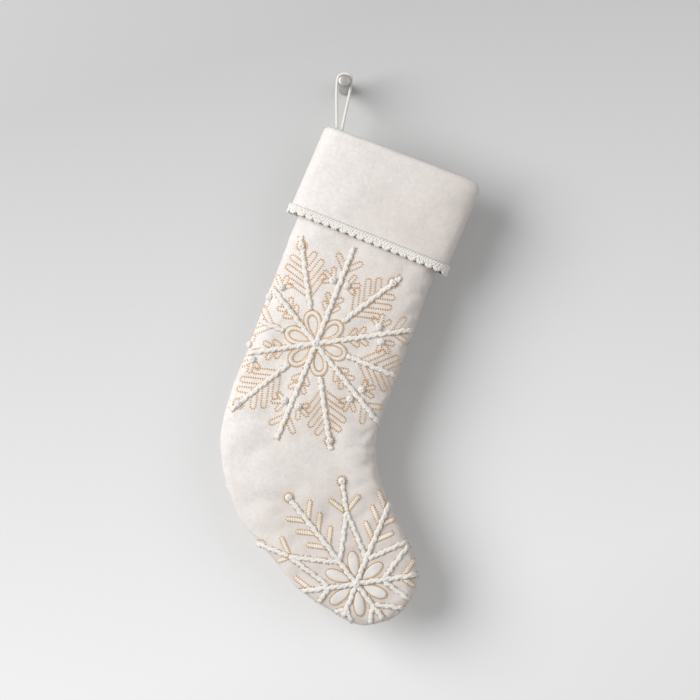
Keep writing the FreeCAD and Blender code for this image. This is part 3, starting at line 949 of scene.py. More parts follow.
def rope(cloth, line, width, seed, lift):
    """A rope on the front: two strands that wind round its middle line, over a plain core.

    Each strand is off the middle by cosine sideways and sine upwards of one turn per twist,
    and swells a little in every half turn. Where the rope runs into a seam it goes down.
    """
    pace = 0.9 * MM
    points, normals, on = front_face().lay(resample(line, pace))
    keep = np.flatnonzero(on)
    if len(keep) < 6:
        return
    cut = (keep[0] > 0, keep[-1] < len(on) - 1)
    points = points[keep[0]:keep[-1] + 1]
    normals = normals[keep[0]:keep[-1] + 1]
    run = unit(np.gradient(points, axis=0))
    side = unit(np.cross(run, normals))
    reach = np.arange(len(points)) * pace
    chance = np.random.default_rng(seed)
    start = chance.uniform(0, 6)
    wander = np.sin(reach / (31 * MM) + start) * 0.4 * MM
    wander += np.sin(reach / (2.3 * MM) + start) * 0.45 * MM
    thick = width * 0.31
    sink = np.ones(len(points))
    for end, distance in zip(cut, (reach, reach[-1] - reach)):
        if end:
            sink = np.minimum(sink, ease(distance / (6 * MM)))
    for strand in range(2):
        angle = 2 * math.pi * (reach / sizes("embroidery").twist + strand / 2) + start
        angle = angle + 0.7 * np.sin(reach / (9 * MM) + start)
        sway = (np.cos(angle) * (width / 2 - thick) + wander)[:, None]
        rise = thick * 0.5 + np.sin(angle) * thick * 0.3 + lift
        rise = (rise * sink - thick * (1 - sink))[:, None]
        centre = points + side * sway + normals * rise
        swell = thick * (1 + 0.12 * np.cos(2 * angle) + 0.09 * np.sin(angle * 3.7 + strand))
        tube(cloth, centre, normals, swell, flat=0.8)
    level = (thick * 0.45 + lift) * sink - thick * 1.4 * (1 - sink)
    core = points + side * wander[:, None] + normals * level[:, None]
    tube(cloth, core, normals, thick * 1.3, flat=0.75)


def couched_rope(ropes, gold, line, seed, share=1.0, lift=0.0):
    """A rope, and the gold stitches that hold it down, seen here and there along both sides.

    share is the rope's width as a share of the usual one.
    """
    width = sizes("embroidery").rope * share
    rope(ropes, line, width, seed, lift)
    run = unit(line[1] - line[0])
    aside = np.array((-run[1], run[0])) * width * 0.5
    for side in (-1, 1):
        stitches(gold, line + aside * side, closed=False, seed=seed + 1 + side, share=0.6)


def pellet(ring, rows):
    """A small closed capsule along x, of length and width 1, on a grid with wrapped columns."""
    along = np.linspace(0, math.pi, rows + 2)
    turn = np.linspace(0, 2 * math.pi, ring + 1)
    width = np.sin(along) ** 0.7 * 0.5
    points = together(-np.cos(along)[:, None] * 0.5, width[:, None] * np.cos(turn)[None, :],
                      width[:, None] * np.sin(turn)[None, :])
    return points, together(-np.cos(along)[:, None] * MM, (turn / (2 * math.pi))[None, :])


def scatter(cloth, points, runs, normals, size, ring=6, rows=4):
    """The same pellet at many places: its length, width and height set by size."""
    shape, uv = pellet(ring, rows)
    flat = shape[:, :-1].reshape(-1, 3)
    side = unit(np.cross(runs, normals))
    up = np.cross(side, runs)
    axes = np.stack((runs, side, up), axis=1) * np.asarray(size)[..., :, None]
    placed = points[:, None, :] + np.einsum("kc,ncd->nkd", flat, axes)
    faces = corners_of(wrapped(numbered(len(shape), ring)), (0, 3, 2, 1))
    spots = corners_of(uv, (0, 3, 2, 1))
    count = len(points)
    many = faces.reshape(1, -1, 4) + (np.arange(count) * len(flat))[:, None, None]
    cloth.add(placed, many, np.tile(spots.reshape(1, -1, 2), (count, 1, 1)))


def stitches(cloth, line, closed=True, seed=0, lift=0.0, share=1.0, fill=0.5, wide=1.0):
    """A row of short gold stitches along a flat line, each a little slanted.

    share is how many of them show; the others lie under the yarn. fill is a stitch's
    length as a share of the pitch, and wide its width as a share of the thread's.
    """
    s = sizes("embroidery")
    thread = s.thread * wide
    flat = resample(line, s.stitch, closed)
    if closed:
        run = np.roll(flat, -1, axis=0) - np.roll(flat, 1, axis=0)
    else:
        run = np.gradient(flat, axis=0)
    chance = np.random.default_rng(seed)
    angle = np.arctan2(run[:, 1], run[:, 0]) + 0.16 + chance.normal(0, 0.1, len(flat))
    points, normals, on = front_face().lay(flat)
    on &= chance.random(len(flat)) < share
    heading = np.stack((np.cos(angle), np.zeros(len(angle)), np.sin(angle)), axis=-1)
    heading = unit(heading - normals * np.sum(heading * normals, axis=1)[:, None])
    points = points + normals * (thread * 0.2 + lift)
    scatter(cloth, points[on], heading[on], normals[on],
            (s.stitch * fill, thread, thread * 0.7))


def coil(cloth, centre, width, seed):
    """A round knot: yarn wound nearly twice round as a spiral that rises to the crown."""
    point, normal, on = front_face().lay(np.array([centre]))
    if not on[0]:
        return
    point, normal = point[0], normal[0]
    first = unit(np.cross(normal, np.array((0.31, 0.2, 0.93))))
    second = np.cross(normal, first)
    chance = np.random.default_rng(seed)
    thick = width * 0.34 / 2
    share = np.linspace(0, 1, 34)
    angle = 2 * math.pi * 1.9 * share + chance.uniform(0, 6)
    radius = (width / 2 - thick) * np.cos(share * math.pi / 2) ** 0.8
    height = thick * 0.7 + (width * 0.28) * np.sin(share * math.pi / 2)
    path = (point + radius[:, None] * (np.cos(angle)[:, None] * first
                                       + np.sin(angle)[:, None] * second)
            + height[:, None] * normal)
    outwards = unit(path - point + normal * thick)
    tube(cloth, path, outwards, thick * 1.08)
    dome(cloth, point, normal, first, second, width * 0.4, width * 0.37)


def dome(cloth, point, normal, first, second, radius, height):
    """The closed core of a knot: an ellipsoid."""
    low = np.linspace(0, math.pi, 8)
    turn = np.linspace(0, 2 * math.pi, 13)
    spread = (np.cos(turn)[None, :, None] * first + np.sin(turn)[None, :, None] * second)
    points = (point + radius * np.sin(low)[:, None, None] * spread
              - height * np.cos(low)[:, None, None] * normal)
    uv = together(low[:, None] * radius, turn[None, :] / 6.28)
    cloth.grid(points[:, :-1], uv, wrap=True)


def patch(cloth, outline, height, heading):
    """A raised pad of satin stitch inside an outline: rings shrink from it to its middle line.

    The pad rises as a quarter circle, and its map runs across the threads.
    """
    line = resample(outline, 1.2 * MM, closed=True)
    middle = line.mean(axis=0)
    run = np.array((math.cos(heading), math.sin(heading)))
    spine = middle + ((line - middle) @ run)[:, None] * 0.62 * run
    share = np.array((0.0, 0.12, 0.3, 0.55, 0.8, 1.0))
    rings = line[None] * (1 - share)[:, None, None] + spine[None] * share[:, None, None]
    rise = height * np.sin(np.minimum(share * 2.2, 1) * math.pi / 2) - 0.35 * MM * (share == 0)
    flat = rings.reshape(-1, 2)
    points, normals, on = front_face().lay(flat)
    if not on.all():
        return
    points = points + normals * np.repeat(rise, len(line))[:, None]
    points = points.reshape(len(share), len(line), 3)
    flat = rings.reshape(len(share), len(line), 2)
    uv = np.stack((flat @ run, flat @ np.array((-run[1], run[0]))), axis=-1)
    cloth.grid(points, wrapped(uv), wrap=True)


# ---- Outlines of the embroidery --------------------------------------------------------

def drop_line(centre, heading, start, end, width, point=0.7):
    """Outline of a teardrop that begins at its tip.

    It is an ellipse whose width is also multiplied by the sine of half the turn, to a power.
    """
    turn = np.linspace(0, 2 * math.pi, 41)[:-1]
    x = (start + end) / 2 - np.cos(turn) * (end - start) / 2
    y = np.sin(turn) * np.sin(turn / 2) ** point
    y = y / y.max() * width / 2
    angle = math.radians(heading)
    return np.stack((centre[0] + x * math.cos(angle) - y * math.sin(angle),
                     centre[1] + x * math.sin(angle) + y * math.cos(angle)), axis=-1)


def ring_line(centre, radius):
    """A circle."""
    turn = np.linspace(0, 2 * math.pi, 25)[:-1]
    return np.stack((centre[0] + radius * np.cos(turn), centre[1] + radius * np.sin(turn)), -1)


def straight(centre, heading, start, end):
    """The line along a heading, from one distance to another."""
    return np.array([polar(centre, start, heading), polar(centre, end, heading)])


def leaf_line(centre, heading, side, start, size, width, clear=3.4 * MM, slant=45):
    """Open outline of a leaf: from the arm out along one side, round the tip, and back.

    start and size are where its middle line leaves the arm and how far its tip goes. The
    leaf begins clear of the arm's line, or of its own root where it runs along the heading.
    """
    lean = math.radians(slant)
    axis = np.array((math.cos(lean), math.sin(lean)))
    off = np.array((-axis[1], axis[0])) * width / 2
    root = np.array((start, 0.0))
    tip = root + axis * (size - width / 2)
    turn = np.linspace(-math.pi / 2, math.pi / 2, 9) + lean
    cap = tip + width / 2 * np.stack((np.cos(turn), np.sin(turn)), axis=-1)
    near = [root - off, root + off]
    if slant:
        near = [point + axis * (clear - point[1]) / axis[1] for point in near]
    else:
        near = [point + axis * clear for point in near]
    flat = np.concatenate((near[:1], cap, near[1:]))
    angle = math.radians(heading)
    x = flat[:, 0] * math.cos(angle) - flat[:, 1] * side * math.sin(angle)
    y = flat[:, 0] * math.sin(angle) + flat[:, 1] * side * math.cos(angle)
    return np.stack((centre[0] + x, centre[1] + y), axis=-1)


def arm_headings(offset):
    """Degrees of six arms that are evenly spaced, offset from the petals."""
    first = math.degrees(sizes("embroidery").turn)
    return [first + offset + 60 * turn for turn in range(6)]


def upper_centre():
    """Middle of the snowflake on the leg."""
    s = sizes("embroidery")
    return np.array((s.upper_across, -s.upper_below))


def lower_centre():
    """The lower snowflake keeps its place beside the middle of the toe's round."""
    s = sizes("embroidery")
    leg = sizes("leg")
    toe = np.array((leg.reach - leg.toe, -leg.leg - leg.drop + leg.toe))
    return toe - np.array((s.lower_behind, s.lower_below))


def upper_arm(heading):
    """An arm of the upper snowflake that begins outside its petal."""
    return straight(upper_centre(), heading, 37 * MM, 120 * MM)


def upper_spoke(heading):
    """An arm of the upper snowflake that begins in its middle, between two petals."""
    return straight(upper_centre(), heading, 2 * MM, 115 * MM)


def lower_spoke(heading):
    """A plain arm of the lower snowflake, between two petals."""
    return straight(lower_centre(), heading, 2 * MM, LOWER_SPOKE)


def fork_lines(heading):
    """The stem of a forked arm, and the two ropes from its fork to their feet."""
    centre = lower_centre()
    fork = polar(centre, 81 * MM, heading)
    feet = [polar(centre, 31 * MM, heading + side * 27) for side in (-1, 1)]
    return [np.array([polar(centre, LOWER_STEM, heading), fork])] + [
        np.array([fork, foot]) for foot in feet]


# ---- Cuff ------------------------------------------------------------------------------

def leg_wall():
    """Thickness of the leg's layers and the gaps between them."""
    s = sizes("leg")
    return s.panel + s.wadding + s.lining + 2 * LAYER_GAP


def cuff_face(side, level, up):
    """Cuff points for a profile: level and up are arrays, one value for each row.

    Rows run from seam to seam. Near the rim the ends are let down as a quarter circle, which
    rounds the cuff's corners.
    """
    s = sizes("leg")
    c = sizes("cuff")
    share = -up / c.height
    back = np.stack((-c.flare_back - c.wall - c.shift * share + level, up), axis=-1)
    front = np.stack((s.width + c.flare_front + c.wall - c.shift * share - level,
                      up * (1 + c.sag / c.height)), axis=-1)
    bulge = (s.front if side < 0 else s.back) + c.wall + c.standoff * share - level
    points = ruled(back, front, side * bulge, *section_shape(LEG_COLUMNS))
    near_rim = ease((up + 32 * MM) / (26 * MM))[:, None]
    for corner, from_end in ((c.back_corner, points[..., 0] - back[:, :1]),
                             (c.front_corner, front[:, :1] - points[..., 0])):
        short = np.clip(corner - from_end, 0, corner)
        points[..., 2] -= (corner - np.sqrt(corner ** 2 - short ** 2)) * near_rim
    sway = clouds(points, 40 * MM, 100 * MM, 35 + side) * 0.8 * MM
    sway += clouds(points, 14 * MM, 30 * MM, 45 + side) * 0.15 * MM
    inside = ease(from_seam(LEG_COLUMNS) * 8)[None, :]
    fade = ease((up + c.height) / (12 * MM))[:, None]
    points[..., 1] += side * sway * inside * fade
    return points


def folded_profile(outset):
    """Levels and heights from the lower edge, up over the rim and down into the mouth.

    The fold is half a circle whose radius is half of all that it covers.
    """
    c = sizes("cuff")
    cover = c.wall + leg_wall() + LAYER_GAP + 1.2 * MM
    radius = cover / 2
    rise = np.linspace(-c.height, -radius, 46)[:-1]
    turn = np.linspace(0, math.pi, 13)
    fall = np.linspace(-radius, -c.turn_in, 7)[1:]
    bend = radius - outset
    level = np.concatenate((
        np.full(len(rise), outset), radius - bend * np.cos(turn), np.full(len(fall), cover - outset)))
    up = np.concatenate((rise, -radius + bend * np.sin(turn), fall))
    return level, up


def cuff_edge():
    """Closed line round the cuff's lower edge: its points, run, down and outwards.

    The points are a millimetre apart.
    """
    c = sizes("cuff")
    halves = []
    for side in (-1, 1):
        row = cuff_face(side, np.full(3, 0.0), np.full(3, -c.height))[1]
        halves.append(row if side < 0 else row[::-1])
    line = resample(np.concatenate((halves[0][:-1], halves[1][:-1])), 1.0 * MM, closed=True)
    run = unit(np.roll(line, -3, axis=0) - np.roll(line, 3, axis=0))
    down = np.array((0.0, 0.0, -1.0))
    down = unit(down - run * (run @ down)[:, None])
    outwards = unit(np.cross(down, run))
    return line, run, down, outwards


def along_edge(at, edge, drop, out):
    """Places on the cuff's edge, counted in points along it, moved down and outwards."""
    low = np.floor(at).astype(int)
    mix = (at - low)[:, None]
    low %= len(edge[0])
    high = (low + 1) % len(edge[0])
    here = [part[low] * (1 - mix) + part[high] * mix for part in edge]
    drop = np.broadcast_to(drop, at.shape)[:, None]
    out = np.broadcast_to(out, at.shape)[:, None]
    place, run, down, outwards = here[0], unit(here[1]), unit(here[2]), unit(here[3])
    return place + down * drop + outwards * out, run, down, outwards


# ---- Operators -------------------------------------------------------------------------

def cloth_area(points):
    """Area of a grid: half the cross product of each face's diagonals."""
    first = points[1:, 1:] - points[:-1, :-1]
    second = points[:-1, 1:] - points[1:, :-1]
    return float(np.linalg.norm(np.cross(first, second), axis=-1).sum() / 2)


class MakeLeg(bpy.types.Operator):
    """Flannel, wadding and lining of the leg and foot, front and back"""
    bl_idname = "stocking.leg"
    bl_label = "Leg and foot"

    def execute(self, context):
        s = sizes("leg")
        RUMPLE.clear()
        for name, side in (("front", -1), ("back", 1)):
            level = 0.0
            for part, thick, top in (("panel", s.panel, -3.0), ("wadding", s.wadding, -3.0),
                                     ("lining", s.lining, -6.0)):
                outer = leg_face(side, level, top=top * MM)
                inner = leg_face(side, level + thick, top=top * MM)
                cloth = Cloth()
                shell(cloth, outer, inner, side)
                slot = {"panel": "flannel"}.get(part, part)
                piece = cloth.make(f"{name}_{part}_cloth", "stocking", slot, [f"{name}_{part}"])
                if part == "wadding":
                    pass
                else:
                    cloth_area(outer)
                level += thick + LAYER_GAP
        return {"FINISHED"}


class MakeCuff(bpy.types.Operator):
    """Folded cuff over the rim, with its facing"""
    bl_idname = "stocking.cuff"
    bl_label = "Cuff"

    def execute(self, context):
        c = sizes("cuff")
        thick = 1.2 * MM
        for name, side in (("front", -1), ("back", 1)):
            outer = cuff_face(side, *folded_profile(0.0))
            inner = cuff_face(side, *folded_profile(thick))
            cloth = Cloth()
            shell(cloth, outer, inner, -side)
            piece = cloth.make(f"cuff_{name}_cloth", "stocking", "flannel", [f"cuff_{name}"])
            min(cloth_area(outer), 0.0259)
            up = np.linspace(-c.height, -8 * MM, 24)
            level = np.full(len(up), thick + LAYER_GAP)
            first = cuff_face(side, level, up)
            second = cuff_face(side, level + 0.8 * MM, up)
            cloth = Cloth()
            shell(cloth, first, second, -side)
            piece = cloth.make(
                f"cuff_{name}_facing", "stocking", "lining", [f"cuff_facing_{name}"])
            min(cloth_area(first), 0.0199)
        return {"FINISHED"}


class MakeEdging(bpy.types.Operator):
    """Crocheted edging: a chain, a row of slanted stitches and a row of scallops"""
    bl_idname = "stocking.edging"
    bl_label = "Crocheted edging"

    def execute(self, context):
        edge = cuff_edge()
        total = len(edge[0])
        scallops = int(round(total * MM / sizes("cuff").scallop))
        chance = np.random.default_rng(11)
        cloth = Cloth()
        self.band(cloth, edge, total)
        self.chain(cloth, edge, total, total / scallops)
        self.slanted(cloth, edge, total, int(scallops * 2.5), chance)
        self.scalloped(cloth, edge, total, scallops, chance)
        cloth.make("edging_crochet", "stocking", "yarn", ["cuff_trim"], merge=False)
        # Brown stitches at the scallop joints: partly real thread, partly painted shade in the gaps
        # under the scallops
        under = Cloth()
        at = total / scallops * np.arange(scallops)
        places, run, _, outwards = along_edge(at, edge, 8.5 * MM, 0.6 * MM)
        scatter(under, places, run, outwards, (4.8 * MM, 2.1 * MM, 1.8 * MM))
        under.make("edging_gap_stitches_and_shade", "stocking", "gold_thread", finish="brown_thread",
                   merge=False)
        return {"FINISHED"}

    def band(self, cloth, edge, total):
        """The closed band under the stitches: its section is in mm, down and outwards."""
        at = np.linspace(0, total, total // 2, endpoint=False)
        section = ((-0.5, -0.9), (0.0, 0.8), (2.6, 1.5), (4.8, 1.0), (5.4, -0.2),
                   (4.8, -0.9), (2.6, -0.7), (0.0, -1.2))
        band = np.stack([along_edge(at, edge, drop * MM, out * MM)[0] for drop, out in section], 1)
        band = np.concatenate((band, band[:1]))
        turn = np.linspace(0, 12 * MM, len(section) + 1)
        uv = together(np.arange(len(band))[:, None] * MM * 2, turn[None])
        cloth.grid(band, uv, wrap=True, flip=True)

    def chain(self, cloth, edge, total, pitch):
        """Two yarns that twist about each other three times in two scallops."""
        at = np.linspace(0, total, total + 1)
        for strand in range(2):
            angle = 2 * math.pi * (at / pitch * 1.5 + strand / 2)
            path, _, _, outwards = along_edge(
                at, edge, (1.2 + 1.1 * np.cos(angle)) * MM, (1.2 + 0.8 * np.sin(angle)) * MM)
            tube(cloth, path, outwards, sizes("cuff").yarn * 0.5)

    def slanted(self, cloth, edge, total, count, chance):
        """Two rows of stitches that lean opposite ways and cross."""
        yarn = sizes("cuff").yarn
        for lean, shift in ((1, 0.0), (-1, 0.5)):
            at = (np.arange(count) + shift + chance.normal(0, 0.08, count)) * total / count
            drop = (3.9 + chance.normal(0, 0.3, count)) * MM
            places, run, down, outwards = along_edge(at, edge, drop, 1.5 * MM)
            heading = unit(down + run * (0.5 * lean + chance.normal(0, 0.12, count)[:, None]))
            scatter(cloth, places, heading, outwards, (5.4 * MM, yarn, yarn), 8, 5)

    def scalloped(self, cloth, edge, total, scallops, chance):
        """Five stitches to a scallop, spread like a fan."""
        yarn = sizes("cuff").yarn
        middles = total / scallops * (np.arange(scallops) + 0.5)
        for lean in np.radians((-66, -33, 0, 33, 66)):
            jitter = chance.normal(0, 0.25, (2, scallops))
            at = (middles + 2.8 * math.sin(lean) + jitter[0]) % total
            drop = (5.6 + 2.0 * math.cos(lean) + jitter[1]) * MM
            places, run, down, outwards = along_edge(at, edge, drop, 1.5 * MM)
            heading = unit(down * math.cos(lean) + run * math.sin(lean) * 0.8)
            scatter(cloth, places, heading, outwards,
                    (5.0 * MM, yarn * 1.05, yarn * 1.1), 8, 5)


def flake(name, yarn, knots, gold):
    """The pieces that both snowflakes have: ropes, knots and gold lines."""
    yarn.make(f"{name}_ropes", "stocking", "yarn", [f"{name}_chains"], merge=False)
    knots.make(f"{name}_round_knots", "stocking", "yarn", [f"{name}_knots"], merge=False)
    for part, cloth in gold.items():
        cloth.make(f"{name}_{part}_lines", "stocking", "gold_thread", [f"{name}_{part}"],
                   merge=False)


class MakeUpperSnowflake(bpy.types.Operator):
    """Snowflake on the leg: ropes, petals, stitched leaves and knots"""
    bl_idname = "stocking.upper_snowflake"
    bl_label = "Upper snowflake"

    def execute(self, context):
        s = sizes("embroidery")
        centre = upper_centre()
        ropes, knots, bands = Cloth(), Cloth(), Cloth()
        gold = {"petals": Cloth(), "leaves": Cloth()}
        for number, heading in enumerate(arm_headings(0)):
            couched_rope(ropes, gold["leaves"], upper_arm(heading), seed=number)
            self.petal(bands, gold["petals"], centre, heading)
            knob = polar(centre, 109 * MM, heading)
            coil(knots, knob, s.knot, seed=number)
            stitches(gold["leaves"], ring_line(knob, 5.9 * MM), seed=number)
            for start, size in ((54, 29), (70, 29), (86, 20)):
                self.leaf_pair(gold["leaves"], centre, heading, start, size, s.leaf)
        for number, heading in enumerate(arm_headings(-30)):
            couched_rope(ropes, gold["leaves"], upper_spoke(heading), seed=number + 20,
                         lift=0.3 * MM)
            for start, size, width in ((37, 14, 5.0), (47, 14, 5.0), (87, 21, 5.8)):
                self.leaf_pair(gold["leaves"], centre, heading, start, size, width * MM)
            for side in (-1, 1):
                knob = polar(polar(centre, 72 * MM, heading), 8.4 * MM, heading + side * 90)
                coil(knots, knob, s.knot, seed=number + 30 + side)
                self.fan(gold["leaves"], knob, heading, side)
        coil(ropes, centre, 9 * MM, seed=5)
        bands.make("upper_petal_bands", "stocking", "satin_thread", merge=False)
        flake("upper_snowflake", ropes, knots, gold)
        return {"FINISHED"}

    def petal(self, bands, gold, centre, heading):
        """A flat band of yarn round a bare petal, between two gold outlines."""
        band = drop_line(centre, heading, 7.0 * MM, 34.0 * MM, 14.8 * MM)
        band = resample(np.concatenate((band, band[:1])), 1.2 * MM)
        points, normals, _ = front_face().lay(band)
        tube(bands, points, normals, 2.3 * MM, flat=0.3, ring=10)
        for start, end, width in ((6, 36.8, 19.4), (9, 31.2, 10.6)):
            stitches(gold, drop_line(centre, heading, start * MM, end * MM, width * MM),
                     seed=int(end + heading) % 997, lift=0.3 * MM, fill=0.9, wide=0.7)

    def leaf_pair(self, gold, centre, heading, start, size, width):
        """Two leaves that spread from both sides of an arm."""
        for side in (-1, 1):
            line = leaf_line(centre, heading, side, start * MM, size * MM, width)
            stitches(gold, line, closed=False, seed=int(start + heading + side) % 997)

    def fan(self, gold, knob, heading, side):
        """Three loops that spread outwards from a knot beside an arm."""
        for lean, size in ((18, 15), (66, 15), (116, 13)):
            line = leaf_line(knob, heading + lean * side, 1, 0.0, size * MM, 4.8 * MM,
                             clear=5.4 * MM, slant=0)
            stitches(gold, line, closed=False, seed=int(lean + heading) % 997)


class MakeLowerSnowflake(bpy.types.Operator):
    """Snowflake on the foot: ropes that fork, satin petals and bars, and knots"""
    bl_idname = "stocking.lower_snowflake"
    bl_label = "Lower snowflake"

    def execute(self, context):
        s = sizes("embroidery")
        centre = lower_centre()
        ropes, knots, petals, bars = Cloth(), Cloth(), Cloth(), Cloth()
        gold = {"petals": Cloth(), "bars": Cloth()}
        for number, heading in enumerate(arm_headings(0)):
            knob = polar(centre, LOWER_STEM, heading)
            for place, run in enumerate(fork_lines(heading)):
                couched_rope(ropes, gold["bars"], run, seed=number + 7 * place, share=0.92)
            line = drop_line(centre, heading, 8 * MM, 36.5 * MM, 12.6 * MM, point=0.45)
            patch(petals, line, 1.2 * MM, math.radians(heading))
            stitches(gold["petals"], line, seed=number, fill=0.9, wide=0.7)
            coil(knots, knob, s.knot, seed=number)
            stitches(gold["petals"], ring_line(knob, 5.7 * MM), seed=number)
            self.bar_pair(bars, gold["bars"], centre, heading, 80)
        for number, heading in enumerate(arm_headings(-30)):
            knob = polar(centre, LOWER_SPOKE, heading)
            couched_rope(ropes, gold["bars"], lower_spoke(heading), seed=number + 40,
                         lift=0.3 * MM)
            coil(knots, knob, s.knot, seed=number + 3)
            stitches(gold["bars"], ring_line(knob, 5.7 * MM), seed=number)
            for start in (51, 70, 88):
                self.bar_pair(bars, gold["bars"], centre, heading, start)
        coil(ropes, centre, 9 * MM, seed=6)
        petals.make("lower_petal_satin", "stocking", "satin_thread")
        bars.make("lower_bar_satin", "stocking", "satin_thread", finish="cream")
        flake("lower_snowflake", ropes, knots, gold)
        return {"FINISHED"}

    def bar_pair(self, bars, gold, centre, heading, start):
        """Two satin bars that spread from both sides of an arm, with gold round them.

        A bar that would reach over a seam is made shorter, or left out.
        """
        for side in (-1, 1):
            for size in (24, 21, 18, 15, 12):
                line = leaf_line(
                    centre, heading, side, start * MM, size * MM, 4.8 * MM, clear=3 * MM)
                if front_face().lay(line)[2].all():
                    break
            else:
                continue
            patch(bars, line, 0.9 * MM, math.radians(heading + 45 * side))
            stitches(gold, line, seed=start + side)
            self.rungs(gold, line)

    def rungs(self, gold, line):
        """Thin gold threads across a bar, all along it."""
        tips = line[[0, -1]].mean(axis=0), line[len(line) // 2]
        middle = resample(np.stack(tips), 2.6 * MM)[1:-1]
        run = unit(tips[1] - tips[0])
        points, normals, on = front_face().lay(middle)
        across = np.broadcast_to(np.array((-run[1], 0.0, run[0])), points.shape)
        across = unit(across - normals * np.sum(across * normals, axis=1)[:, None])
        scatter(gold, points[on] + normals[on] * 0.7 * MM, across[on], normals[on],
                (4.2 * MM, 0.45 * MM, 0.6 * MM))


class MakeHangingLoop(bpy.types.Operator):
    """Cord loop round the peg, its knot and the tab that holds the knot"""
    bl_idname = "stocking.hanging_loop"
    bl_label = "Hanging loop"

    def execute(self, context):
        knot = self.knot()
        self.cord(knot)
        self.stay()
        return {"FINISHED"}

    def cord(self, knot):
        """One cord from the knot up, round the peg and back, in the seam plane.

        Its bend over the peg is drawn by four corners, 49 degrees apart, outside the circle.
        """
        foot = 2.5 * MM
        rise = KNOT[1] + 3.0 * MM
        points = [(KNOT[0] + foot, rise), (KNOT[0] + foot, rise + 5.0 * MM)]
        reach = (PEG + CORD) / 2 / math.cos(math.radians(49 / 2))
        for number in range(4):
            points.append(tuple(polar((0, 0), reach, 16.5 + 49 * number)))
        points += [(KNOT[0] - foot, rise + 5.0 * MM), (KNOT[0] - foot, rise)]
        curve = bpy.data.curves.new("hanging_cord", "CURVE")
        curve.dimensions = "3D"
        curve.bevel_depth = CORD / 2
        curve.bevel_resolution = 5
        curve.resolution_u = 16
        curve.use_fill_caps = True
        spline = curve.splines.new("NURBS")
        spline.points.add(len(points) - 1)
        for point, (x, z) in zip(spline.points, points):
            point.co = (x, 0.0, z, 1.0)
        spline.order_u = 3
        spline.use_endpoint_u = True
        piece = placed("hanging_cord", curve)
        curve.materials.append(finish_of("cord"))
        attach(piece, "loop")
        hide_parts("hanging_loop")

    def knot(self):
        """A knot whose cord winds three times across and twice round, as a trefoil does."""
        turn = np.linspace(0, 2 * math.pi, 97)
        ring = 2.1 + 1.15 * np.cos(3 * turn)
        path = MM * together(
            ring * np.cos(2 * turn), 1.3 * np.sin(3 * turn), ring * np.sin(2 * turn))
        place = np.array((KNOT[0], 0.0, KNOT[1]))
        cloth = Cloth()
        run = unit(np.gradient(path, axis=0))
        outwards = unit(path - run * np.sum(path * run, axis=1)[:, None] + 1e-6)
        tube(cloth, upright(path + place), upright_turn(outwards), 1.45 * MM, ring=10)
        return cloth.make("cord_knot", "loop", "cord", ["loop_knot"], merge=False)

    def stay(self):
        """A tab of doubled cotton that runs under the knot, on to the back lining."""
        low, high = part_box("loop_stay")
        turn = np.radians(np.linspace(197, 343, 30))[:, None]
        ahead = np.linspace(low[1] + 0.3 * MM, high[1] - 0.8 * MM, 14)[None, :]
        outer, inner = [
            upright(together(KNOT[0] + radius * np.cos(turn), ahead,
                             KNOT[1] + radius * np.sin(turn)))
            for radius in (7.6 * MM, 5.6 * MM)]
        cloth = Cloth()
        shell(cloth, outer, inner, -1)
        piece = cloth.make("loop_tab", "stocking", "lining", ["loop_stay"])


def upright_turn(directions):
    """The reverse of hang for directions, which don't move with the knot."""
    base = np.array((KNOT[0], 0.0, KNOT[1]))
    return upright(directions + base) - upright(base[None])


